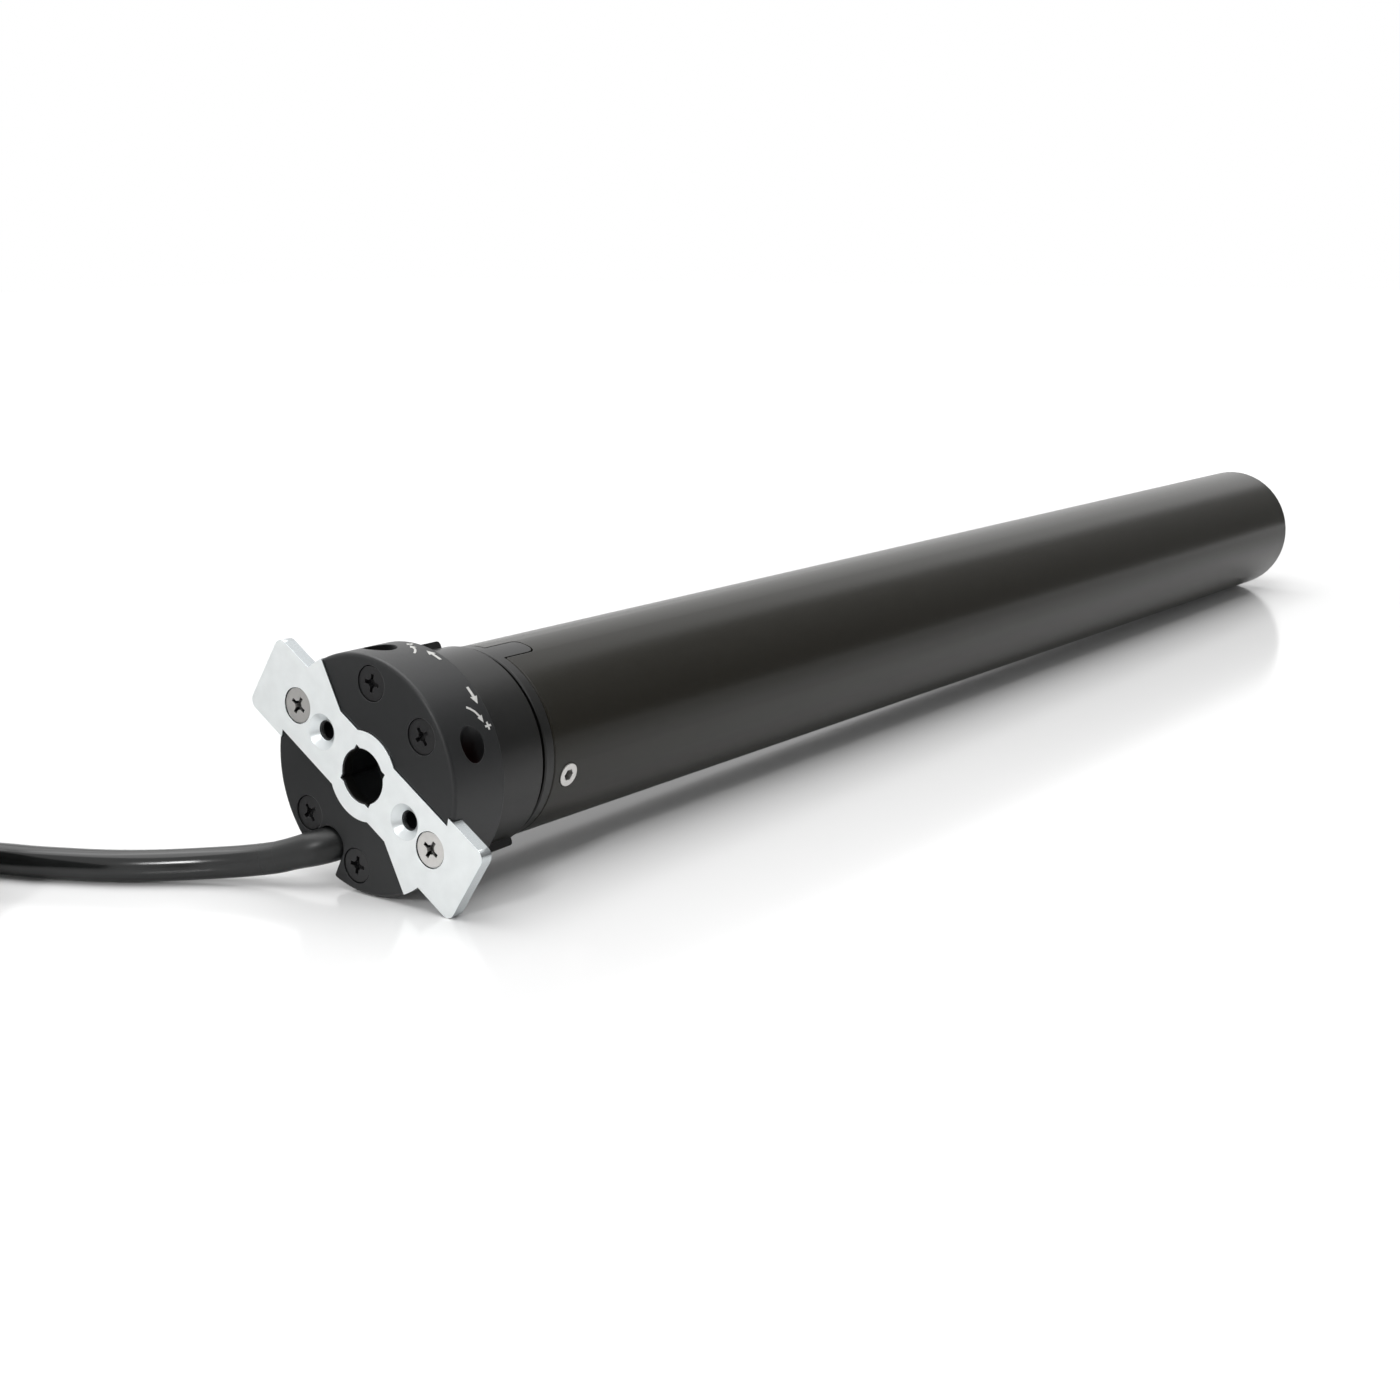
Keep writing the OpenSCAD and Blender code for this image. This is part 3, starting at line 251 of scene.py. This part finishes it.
def mix_colours(tree, share, a, b, blend="MIX"):
    sockets = {FACTOR: share, COLOUR_A: a, COLOUR_B: b}
    made = shader_node(tree, "ShaderNodeMix", sockets, data_type="RGBA", blend_type=blend)
    return made.outputs[COLOUR_OUT]


def object_place(tree):
    return shader_node(tree, "ShaderNodeTexCoord").outputs["Object"]


def fed_by(shader, socket):
    """The output that a socket of the shader takes its value from now."""
    return shader.inputs[socket].links[0].from_socket


def new_material(name):
    mat = bpy.data.materials.new(name)
    mat.use_nodes = True
    return mat, mat.node_tree, mat.node_tree.nodes["Principled BSDF"]


def rgba(code):
    """A colour code such as #80ff00 as linear light."""
    parts = [int(code[i:i + 2], 16) / 255 for i in (1, 3, 5)]
    return (*[c / 12.92 if c <= 0.04045 else ((c + 0.055) / 1.055) ** 2.4 for c in parts], 1)


# Materials
TONE_STOPS = (0.32, 0.68)
NOISE_RANGE = (0.3, 0.7)
COARSE_DETAIL, FINE_DETAIL = 4, 3
LEAST_ROUGH = 0.03
RELIEF, EDGE_SAMPLES = 0.05, 6


def material(name, colour, rough, metal=0.0, vary=0.08, grain=600, bump=0.1, bump_scale=2500,
             stretch=(1, 1, 1), rough_vary=0.06, ior=1.5, edge=0.15):
    """A procedural surface: two tones mixed by a coarse noise, gloss and relief from a fine one.
    Its edges catch the light as if they were rounded by edge, in millimetres."""
    mat, tree, shader = new_material(name)
    place = shader_node(tree, "ShaderNodeMapping", {"Vector": object_place(tree), "Scale": stretch})
    coarse, fine = (
        shader_node(tree, "ShaderNodeTexNoise",
                    {"Vector": place.outputs["Vector"], "Scale": scale, "Detail": detail}).outputs["Fac"]
        for scale, detail in ((grain, COARSE_DETAIL), (bump_scale, FINE_DETAIL)))
    tones = shader_node(tree, "ShaderNodeValToRGB", {"Fac": coarse})
    for stop, position, tone in zip(tones.color_ramp.elements, TONE_STOPS, (1 - vary, 1 + vary)):
        stop.position = position
        stop.color = (*[min(1, c * tone) for c in rgba(colour)[:3]], 1)
    gloss = spread(tree, fine, NOISE_RANGE, (max(LEAST_ROUGH, rough - rough_vary), rough + rough_vary))
    rounded = shader_node(tree, "ShaderNodeBevel", {"Radius": edge * MM}, samples=EDGE_SAMPLES)
    relief = shader_node(tree, "ShaderNodeBump", {
        "Strength": bump, "Distance": RELIEF * MM, "Height": fine, "Normal": rounded.outputs["Normal"]})
    for socket, value in (("Metallic", metal), ("IOR", ior), ("Base Color", tones.outputs["Color"]),
                          ("Roughness", gloss), ("Normal", relief.outputs["Normal"])):
        feed(tree, shader.inputs[socket], value)
    return mat


surfaces = {
    "zinc": material("white_zinc", "#f1f5f5", rough=0.48, metal=0.1, vary=0.03, grain=260,
                     bump=0.05, bump_scale=1800, rough_vary=0.07),
    "screw_steel": material("bright_steel", "#d4d2cf", rough=0.3, metal=0.6, vary=0.03, grain=900,
                            bump=0.01, bump_scale=3000, rough_vary=0.02, edge=0.12),
    "black_screw": material("black_oxide", "#1a1a1b", rough=0.36, vary=0.12, grain=900,
                            bump_scale=3000, ior=1.45),
    "head_plastic": material("head_moulding", "#1a1b1c", rough=0.4, vary=0.05, grain=900,
                             bump=0.22, bump_scale=5200, ior=1.45, edge=0.3),
    "ring_plastic": material("ring_moulding", "#131312", rough=0.3, vary=0.05, grain=500,
                             bump=0.01, bump_scale=4200, rough_vary=0.02, ior=1.45, edge=0.2),
    "frame_plastic": material("frame_moulding", "#5a5d60", rough=0.5, vary=0.06, grain=700,
                              bump=0.15, bump_scale=4200),
    "ivory_plastic": material("ivory_acetal", "#ddd8ca", rough=0.38, vary=0.04, bump=0.06,
                              bump_scale=3000),
    "red_plastic": material("red_acetal", "#a83f2c", rough=0.38, vary=0.06, bump=0.06,
                            bump_scale=3000),
    "switch_plastic": material("switch_moulding", "#22242a", rough=0.45, grain=700, bump=0.12,
                               bump_scale=4000),
    "tube_paint": material("satin_paint", "#1c1a13", rough=0.25, vary=0.05, grain=420, bump=0.008,
                           bump_scale=1500, rough_vary=0.02, ior=1.38, edge=0.25),
    "capacitor_film": material("capacitor_can", "#d7d9da", rough=0.3, vary=0.03, grain=300,
                               bump=0.04, bump_scale=2000),
    "dark_rubber": material("dark_rubber", "#303234", rough=0.62, grain=700, bump=0.2,
                            bump_scale=3500),
    "lead_pvc": material("lead_insulation", "#7a4a2c", rough=0.36, vary=0.05, grain=500, bump=0.05),
    "die_cast": material("die_cast", "#9a9da0", rough=0.46, metal=1.0, grain=500, bump=0.25,
                         bump_scale=2600),
    "lamination": material("lamination", "#747a7e", rough=0.42, metal=1.0, vary=0.1, grain=300,
                           bump=0.3, bump_scale=2200, stretch=(9, 1, 1)),
    "copper": material("varnished_copper", "#b5713c", rough=0.32, metal=1.0, vary=0.12, grain=500,
                       bump=0.4, bump_scale=2400, stretch=(1, 3, 3)),
    "steel": material("ground_steel", "#a9adb0", rough=0.28, metal=1.0, vary=0.06, grain=700,
                      bump=0.12, bump_scale=2800, stretch=(4, 1, 1)),
    "lining": material("friction_lining", "#4a3d33", rough=0.8, vary=0.3, grain=900, bump=0.5),
    "bronze": material("sintered_bronze", "#b08d57", rough=0.44, metal=1.0, vary=0.15, grain=1200,
                       bump=0.3, bump_scale=3500),
    "cable_pvc": material("cable_sheath", "#1b1c1c", rough=0.16, vary=0.06, grain=300, bump=0.006,
                          bump_scale=900, rough_vary=0.01, ior=1.46),
    "ink_print": material("grey_ink", "#c9c9c6", rough=0.6, vary=0.1, grain=2500, bump_scale=5000),
}

# Share of a face's direction along the axis at which it counts as a slope, and as a flat
SLOPE_RANGE = (0.6, 0.95)
# Openness at which a recess gets its full painted shade, and at which it gets none
OPEN_RANGE, OPEN_SAMPLES = (0.35, 0.85), 8


def bare_slopes(mat, colour, metal, rough):
    """Faces that lie across the motor's axis keep their finish; bevels and walls show bare metal."""
    tree = mat.node_tree
    shader = tree.nodes["Principled BSDF"]
    face = shader_node(tree, "ShaderNodeNewGeometry").outputs["True Normal"]
    along = shader_node(tree, "ShaderNodeSeparateXYZ", {"Vector": face}).outputs["X"]
    slope = spread(tree, maths(tree, "ABSOLUTE", along), SLOPE_RANGE, (1, 0))
    own_metal = shader.inputs["Metallic"].default_value
    for socket, value in (
            ("Base Color", mix_colours(tree, slope, fed_by(shader, "Base Color"), rgba(colour))),
            ("Metallic", spread(tree, slope, (0, 1), (own_metal, metal))),
            ("Roughness", mix_numbers(tree, slope, fed_by(shader, "Roughness"), rough))):
        feed(tree, shader.inputs[socket], value)


def paint_recess_shade(mat, reach, depth):
    """Painted shade: the colour falls to depth in narrow gaps and recesses, where they are closed in."""
    tree = mat.node_tree
    shader = tree.nodes["Principled BSDF"]
    openness = shader_node(tree, "ShaderNodeAmbientOcclusion", {"Distance": reach * MM},
                           samples=OPEN_SAMPLES)
    share = spread(tree, openness.outputs["AO"], OPEN_RANGE, (depth, 1))
    shaded_colour = mix_colours(tree, 1, fed_by(shader, "Base Color"), share, "MULTIPLY")
    feed(tree, shader.inputs["Base Color"], shaded_colour)


# Where the upper cores begin: over the coil in the sheath, and off its middle lane once they spread
CORES_OVER, CORES_OFF = 3.65, 3.0


def core_colours(mat, upper_inner, lower_outer, lower_inner):
    """The cable's four cores by their place on the coil; the material's own tone is the fourth."""
    tree = mat.node_tree
    shader = tree.nodes["Principled BSDF"]
    out = vectors(tree, "SUBTRACT", "Vector", object_place(tree), coil_origin * MM)
    height = vectors(tree, "DOT_PRODUCT", "Value", out, tilt @ Vector((0, 0, 1)))
    reach = vectors(tree, "DOT_PRODUCT", "Value", out, out)
    radius = maths(tree, "SQRT", maths(tree, "SUBTRACT", reach, maths(tree, "MULTIPLY", height, height)))
    offset = maths(tree, "SUBTRACT", radius, MIDDLE * MM)
    outer = maths(tree, "GREATER_THAN", offset, 0.0)
    wide = maths(tree, "GREATER_THAN", maths(tree, "ABSOLUTE", offset), CORES_OFF * MM)
    high = maths(tree, "GREATER_THAN", height, (COIL_TOP + CORES_OVER) * MM)
    upper = maths(tree, "MAXIMUM", wide, high)
    lower_pair = mix_colours(tree, outer, rgba(lower_inner), rgba(lower_outer))
    upper_pair = mix_colours(tree, outer, rgba(upper_inner), fed_by(shader, "Base Color"))
    feed(tree, shader.inputs["Base Color"], mix_colours(tree, upper, lower_pair, upper_pair))


def matte_near(mat, place, near, far, rough):
    """The gloss falls off around a place: rough within near millimetres, the material's own past far."""
    tree = mat.node_tree
    shader = tree.nodes["Principled BSDF"]
    away = vectors(tree, "DISTANCE", "Value", object_place(tree), place * MM)
    share = spread(tree, away, (near * MM, far * MM), (0, 1), smooth=True)
    feed(tree, shader.inputs["Roughness"], mix_numbers(tree, share, rough, fed_by(shader, "Roughness")))


bare_slopes(surfaces["zinc"], "#c6cbcd", metal=0.95, rough=0.2)
matte_near(surfaces["cable_pvc"], elbow_corner, near=9, far=24, rough=0.38)
core_colours(surfaces["lead_pvc"], upper_inner="#1d1d1e", lower_outer="#2c5f9e", lower_inner="#6f9c2e")
# Painted shade darkens the screws' cross recesses and the gaps round their heads
paint_recess_shade(surfaces["screw_steel"], reach=1.8, depth=0.02)
slot_of = {p["node"]: p["material_slot"] for p in frame["record"]["subparts"]}
for name, obj in nodes.items():
    obj.data.materials.clear()
    obj.data.materials.append(surfaces[slot_of[name]])


def dress(obj, surface, body="housing"):
    """Gives a new piece its finish and the body that it moves with."""
    obj.data.materials.append(surfaces[surface])
    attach(obj, body)
    return obj


dress(bend, "cable_pvc")
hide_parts("cable_elbow")
dress(cable, "cable_pvc")
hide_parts("cable_lead", "cable_coil", "cable_tail")


# Meshes
def mesh_object(name, bm):
    mesh = bpy.data.meshes.new(name)
    bm.to_mesh(mesh)
    bm.free()
    return add(bpy.data.objects.new(name, mesh))


def close_hoops(bm, hoops):
    """Faces between each closed line of points and the next, and from the last to the first."""
    for here, after in zip(hoops, hoops[1:] + hoops[:1]):
        for i in range(len(here)):
            j = (i + 1) % len(here)
            bm.faces.new((here[i], here[j], after[j], after[i]))


def round_edges(obj, width, segments, angle, harden=False):
    bevel = obj.modifiers.new("edges", "BEVEL")
    bevel.width = width * MM
    bevel.segments = segments
    bevel.limit_method = "ANGLE"
    bevel.angle_limit = math.radians(angle)
    bevel.harden_normals = harden


# Rounded edges on the fixing plate
WELD_GAP = 0.001
nodes["fixing_plate"].modifiers.new("weld", "WELD").merge_threshold = WELD_GAP * MM
round_edges(nodes["fixing_plate"], width=0.3, segments=3, angle=30, harden=True)

# Printed signs on the head's rim, as thin skins on the curved surface. Their places are
# millimetres along the axis and degrees round the rim, read at a roll of SIGN_ROLL.
SIGN_ROLL = 32.9
INK_LIFT, INK_T = 0.015, 0.02
SIGN_CUTS, NECK_LAP = 2, 0.05
SIGNS_MIDDLE = 123.0
TRAVEL_ARROW = [(13.9, 132.7), (13.9, 137), (13.9, 142.1)]
ADJUST_ARROW = [(10.3, 142.3), (11.1, 143.4), (12, 145.3), (12.7, 148), (13.1, 151.2)]
PLUS_AT, PLUS_ARM, PLUS_HALF = (14, 153.1), 0.9, 0.25


def rim_point(x, angle, lift):
    a = math.radians(angle + ROLL - SIGN_ROLL)
    r = HEAD_R + lift
    return Vector((x, r * math.cos(a), r * math.sin(a))) * MM


def print_sign(name, outlines):
    """Flat outlines in (x, arc length) laid on the rim."""
    bm = bmesh.new()
    for outline in outlines:
        bm.faces.new([bm.verts.new((x, y, 0)) for x, y in outline])
    bmesh.ops.triangulate(bm, faces=bm.faces[:])
    bmesh.ops.subdivide_edges(bm, edges=bm.edges[:], cuts=SIGN_CUTS, use_grid_fill=True)
    for v in bm.verts:
        v.co = rim_point(v.co.x, math.degrees(v.co.y / HEAD_R), INK_LIFT)
    bm.normal_update()
    sign = mesh_object(name, bm)
    ink = sign.modifiers.new("ink", "SOLIDIFY")
    ink.thickness = INK_T * MM
    ink.offset = 0
    dress(sign, "ink_print")


def stroke(points, width):
    """Outline of a stroke of even width along a line of points."""
    left, right = [], []
    for i, p in enumerate(points):
        a = Vector(points[max(i - 1, 0)])
        b = Vector(points[min(i + 1, len(points) - 1)])
        d = (b - a).normalized()
        n = Vector((-d.y, d.x)) * width / 2
        left.append(tuple(Vector(p) + n))
        right.append(tuple(Vector(p) - n))
    return left + right[::-1]


def arrow(points, width, head, half):
    """Outlines of a stroke and of the filled arrow head that it ends in."""
    tip, before = Vector(points[-1]), Vector(points[-2])
    d = (tip - before).normalized()
    n = Vector((-d.y, d.x))
    neck = tip - d * head
    return [stroke(points[:-1] + [tuple(neck + d * NECK_LAP)], width),
            [tuple(tip), tuple(neck + n * half), tuple(neck - n * half)]]


def plus(x, y, arm, half):
    """Outlines of a plus sign: its bar, and the two halves of its post."""
    def patch(x0, x1, y0, y1):
        return [(x + x0, y + y0), (x + x1, y + y0), (x + x1, y + y1), (x + x0, y + y1)]
    return [patch(-arm, arm, -half, half), patch(-half, half, half, arm), patch(-half, half, -arm, -half)]


def on_rim(place, side):
    """A sign's place as (x, arc length), on one side of the signs' middle or the other."""
    x, angle = place
    return x, math.radians(SIGNS_MIDDLE + side * (angle - SIGNS_MIDDLE)) * HEAD_R


for side, tag in ((1, "down"), (-1, "up")):
    travel, adjust = ([on_rim(p, side) for p in line] for line in (TRAVEL_ARROW, ADJUST_ARROW))
    print_sign("travel_arrow_" + tag, arrow(travel, width=0.75, head=1.9, half=1.05))
    print_sign("adjust_arrow_" + tag, arrow(adjust, width=0.55, head=1.6, half=0.8))
    print_sign("adjust_plus_" + tag, plus(*on_rim(PLUS_AT, side), PLUS_ARM, PLUS_HALF))

# Black sleeve in the plate's pin hole, with a slightly uneven lip: depths and insets of its profile
SLEEVE_BACK, SLEEVE_OUT, SLEEVE_IN = PLATE_T - 0.1, 0.02, 0.22
SLEEVE = [(SLEEVE_BACK, SLEEVE_OUT), (0.34, SLEEVE_OUT), (0.3, 0.1), (0.38, SLEEVE_IN),
          (SLEEVE_BACK, SLEEVE_IN)]
SLEEVE_HOOPS, LIP_DEPTH = 180, 1.0
# Waves of the lip: height, number round the hole, and turn
LIP_WAVES = ((0.03, 5, 0), (0.02, 13, 1))


def pin_radius(a):
    """Outline of the pin hole, a square laid over a round."""
    return max(PIN_R, PIN_HALF / max(abs(math.cos(a)), abs(math.sin(a))))


def sleeve_point(a, depth, inset):
    r = pin_radius(a) - inset
    if depth < LIP_DEPTH:
        depth += sum(height * math.sin(number * a + turn) for height, number, turn in LIP_WAVES)
    return placed(r * math.cos(a), r * math.sin(a), depth) * MM


sleeve = bmesh.new()
sleeve_angles = [math.tau * (k + 0.5) / SLEEVE_HOOPS for k in range(SLEEVE_HOOPS)]
close_hoops(sleeve, [[sleeve.verts.new(sleeve_point(a, *p)) for p in SLEEVE] for a in sleeve_angles])
bmesh.ops.recalc_face_normals(sleeve, faces=sleeve.faces[:])
dress(mesh_object("pin_sleeve", sleeve), "ring_plastic")

# Thread ridges in the tapped holes and in the drive shaft's end
THREAD_STEPS, THREAD_SIDES = 20, 2
PLATE_THREAD_S, DRIVE_THREAD_LEN = 1.8, 13.0


def thread(name, start, radius, pitch, turns, ridge, surface, body):
    """A ridge that winds along the motor's axis from a point in the middle of the hole."""
    side = AXIS.orthogonal().normalized()
    up = AXIS.cross(side)
    line = []
    for i in range(int(turns * THREAD_STEPS) + 1):
        a = math.tau * i / THREAD_STEPS
        line.append(start + AXIS * (pitch * i / THREAD_STEPS)
                    + (side * math.cos(a) + up * math.sin(a)) * radius)
    dress(curve(name, line, ridge, THREAD_SIDES, twist="MINIMUM"), surface, body)


# The plate's thread ridges take the black finish, which paints the shade inside the tapped holes
for side, tag in ((1, "right"), (-1, "left")):
    thread("plate_thread_" + tag, placed(side * TAPPED_AT, 0, PLATE_THREAD_S), radius=2.2, pitch=0.4,
           turns=2.6, ridge=0.42, surface="black_screw", body="housing")
thread("drive_thread", AXIS * (TUBE_END + SHAFT_OUT - DRIVE_THREAD_LEN), radius=2.1, pitch=0.8,
       turns=15, ridge=0.4, surface="steel", body="output")

# The four cores come out of the sheath side by side and lie down on the coil
CORE_D, CORE_SIDES, CORE_STEPS = 2.2, 4, 40
CORE_SEAT, CORE_OFF = 0.05, 1.2
UPPER_SPREAD, LOWER_SPREAD = 3.2, 0.4
# Angles along the coil: where the cores run from and to, and where they part and come down
CORE_START, CORE_END = SHEATH_END - 3, 288.0
PART_START, PART_OVER = SHEATH_END + 1, 12
DOWN_START, DOWN_OVER = SHEATH_END + 10, 14


def core_route(side, upper):
    line = []
    for k in range(CORE_STEPS + 1):
        a = CORE_START + (CORE_END - CORE_START) * k / CORE_STEPS
        apart = ease((a - PART_START) / PART_OVER)
        down = ease((a - DOWN_START) / DOWN_OVER)
        r = MIDDLE + side * (CORE_OFF + (UPPER_SPREAD if upper else LOWER_SPREAD) * apart)
        above = (CABLE_D - CORE_D) / 2 + (CORE_OFF if upper else -CORE_OFF)
        line.append(on_coil(r, a, COIL_TOP + CORE_D / 2 + CORE_SEAT + above * (1 - down)))
    return line


cores = curve("core_insulation", core_route(-1, True), CORE_D, CORE_SIDES)
for side, upper in ((1, True), (-1, False), (1, False)):
    add_line(cores.data, core_route(side, upper))
dress(cores, "lead_pvc")
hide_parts("cable_cores")

# Tie around the coil: a strap with rounded corners, its head and the cut end of the strap
TIE_ANGLE, STRAP_W, STRAP_T, STRAP_GAP = 40.0, 4.8, 0.72, 0.04
CORNER_STEPS = 8
HEAD_W, CUT_END_W = 6.6, 4.4
HEAD_SINK = 0.15
SEAT = COIL_TOP + STRAP_T - HEAD_SINK
TIE_HEAD = [(36.6, SEAT), (43.0, SEAT), (43.4, SEAT + 0.8), (43.4, SEAT + 2.6), (42.6, SEAT + 3.9),
            (37.8, SEAT + 3.9), (36.6, SEAT + 2.8)]
CUT_END = [(43.0, SEAT + 1.0), (45.6, SEAT + 1.3), (45.5, SEAT + 2.2), (43.0, SEAT + 2.0)]
tie_mesh = bmesh.new()
tie_turn = tilt @ Matrix.Rotation(math.radians(TIE_ANGLE), 3, "Z")


def tie_line(outline, w):
    """An outline in (radius, height) as points of the tie's mesh, at w across the strap."""
    return [tie_mesh.verts.new((coil_origin + tie_turn @ Vector((r, w, z))) * MM) for r, z in outline]


def strap_outline(grow):
    """Closed line around the coil's six turns, at a distance from them."""
    half = CABLE_D / 2
    low, top = TIE_T + half, COIL_TOP - half
    line = []
    for r, z, start in ((INNER, low, 180), (OUTER, low, 270), (OUTER, top, 0), (INNER, top, 90)):
        for k in range(CORNER_STEPS + 1):
            a = math.radians(start + 90 * k / CORNER_STEPS)
            line.append((r + (half + grow) * math.cos(a), z + (half + grow) * math.sin(a)))
    return line


def tie_block(outline, width):
    """A block on the strap with the given outline across it."""
    near, far = (tie_line(outline, w) for w in (-width / 2, width / 2))
    tie_mesh.faces.new(near)
    tie_mesh.faces.new(far[::-1])
    for i in range(len(outline)):
        j = (i + 1) % len(outline)
        tie_mesh.faces.new((near[j], near[i], far[i], far[j]))


close_hoops(tie_mesh, [tie_line(strap_outline(grow), side * STRAP_W / 2) for grow, side in (
    (STRAP_GAP, -1), (STRAP_T, -1), (STRAP_T, 1), (STRAP_GAP, 1))])
tie_block(TIE_HEAD, HEAD_W)
tie_block(CUT_END, CUT_END_W)
bmesh.ops.recalc_face_normals(tie_mesh, faces=tie_mesh.faces[:])
tie = mesh_object("cable_tie", tie_mesh)
round_edges(tie, width=0.22, segments=2, angle=40)
dress(tie, "cable_pvc")
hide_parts("coil_tie")


# Table: a pale surface that keeps the object's shadow. Away from the object its gloss fades out
# and it is lifted to white. The two fades run over distances in metres from its middle.
TABLE_HALF, TABLE_GAP = 4000, 0.02
TABLE_COLOUR, TABLE_ROUGH = (0.93, 0.93, 0.93, 1), 0.14
TABLE_MIDDLE = (0.2, 0.03, 0)
GLOSS_FADE, GLOSS = (0.1, 0.85), (0.45, 0.0)
LIFT_FADE, LIFT = (0.25, 1.2), (0.02, 0.72)
WHITE = (1, 1, 1, 1)


def seen_directly(tree):
    """1 for what the camera, a reflection or glass sees, and 0 for the light that falls on things."""
    path = shader_node(tree, "ShaderNodeLightPath").outputs
    seen = maths(tree, "MAXIMUM", path["Is Camera Ray"], path["Is Glossy Ray"])
    return maths(tree, "MAXIMUM", seen, path["Is Transmission Ray"])


def white_table():
    mat, tree, shader = new_material("white_table")
    away = vectors(tree, "DISTANCE", "Value", object_place(tree), TABLE_MIDDLE)
    lift = spread(tree, away, LIFT_FADE, LIFT, smooth=True)
    for socket, value in (
            ("Base Color", TABLE_COLOUR), ("Roughness", TABLE_ROUGH), ("Emission Color", WHITE),
            ("Specular IOR Level", spread(tree, away, GLOSS_FADE, GLOSS, smooth=True)),
            ("Emission Strength", maths(tree, "MULTIPLY", seen_directly(tree), lift))):
        feed(tree, shader.inputs[socket], value)
    return mat


table_mesh = bpy.data.meshes.new("table")
table_corners = [(-TABLE_HALF, -TABLE_HALF), (TABLE_HALF, -TABLE_HALF),
                 (TABLE_HALF, TABLE_HALF), (-TABLE_HALF, TABLE_HALF)]
table_mesh.from_pydata([Vector((x, y, table_z(x) - TABLE_GAP)) * MM for x, y in table_corners],
                       [], [(0, 1, 2, 3)])
table_mesh.materials.append(white_table())
add(bpy.data.objects.new("table", table_mesh))

# World: white where it is seen, and a soft fill where it lights
FILL = 0.36
world = bpy.data.worlds.new("studio")
scene.world = world
world.use_nodes = True
sky = world.node_tree.nodes["Background"]
feed(world.node_tree, sky.inputs["Color"], WHITE)
feed(world.node_tree, sky.inputs["Strength"],
     spread(world.node_tree, seen_directly(world.node_tree), (0, 1), (FILL, 1)))


# Lamps: places in millimetres, sizes in metres, power in watts
def softbox(name, place, aim, size, power):
    data = bpy.data.lights.new(name, "AREA")
    data.shape = "RECTANGLE"
    data.size, data.size_y = size
    data.energy = power
    lamp = add(bpy.data.objects.new(name, data))
    lamp.location = Vector(place) * MM
    lamp.rotation_euler = (Vector(aim) - Vector(place)).to_track_quat("-Z", "Y").to_euler()


softbox("top_light", place=(150, 150, 1400), aim=(150, 100, 0), size=(1.6, 1.6), power=18.5)
softbox("key_light", place=(250, 700, 900), aim=(120, 0, 0), size=(0.9, 0.6), power=2.5)
softbox("front_fill", place=(-814, -240, 510), aim=(0, 20, 0), size=(0.09, 0.2), power=2.4)

# The dark half of the studio, a curved wall in metres that only reflections see
WALL_R, WALL_H, WALL_ROUGH = 1.6, 1.5, 0.9
WALL_ANGLES = range(-160, 1, 10)
WALL_FOOT, WALL_TOP = (0.2, 0.2, 0.2, 1), (0.6, 0.6, 0.6, 1)


def wall_paint():
    """Dark grey at the foot of the wall and paler at its top."""
    mat, tree, shader = new_material("wall_paint")
    place = shader_node(tree, "ShaderNodeTexCoord").outputs["Generated"]
    height = shader_node(tree, "ShaderNodeSeparateXYZ", {"Vector": place}).outputs["Z"]
    fade = shader_node(tree, "ShaderNodeValToRGB", {"Fac": height})
    for stop, tone in zip(fade.color_ramp.elements, (WALL_FOOT, WALL_TOP)):
        stop.color = tone
    feed(tree, shader.inputs["Base Color"], fade.outputs["Color"])
    feed(tree, shader.inputs["Roughness"], WALL_ROUGH)
    return mat


feet = [Vector((WALL_R * math.cos(math.radians(a)), WALL_R * math.sin(math.radians(a)), table_z(0) * MM))
        for a in WALL_ANGLES]
tops = [p + Vector((0, 0, WALL_H)) for p in feet]
count = len(feet)
wall_mesh = bpy.data.meshes.new("dark_wall")
wall_mesh.from_pydata(feet + tops, [], [(i, i + 1, count + i + 1, count + i) for i in range(count - 1)])
wall_mesh.materials.append(wall_paint())
wall = add(bpy.data.objects.new("dark_wall", wall_mesh))
wall.visible_camera = False
wall.visible_diffuse = False
wall.visible_shadow = False
wall.visible_transmission = False
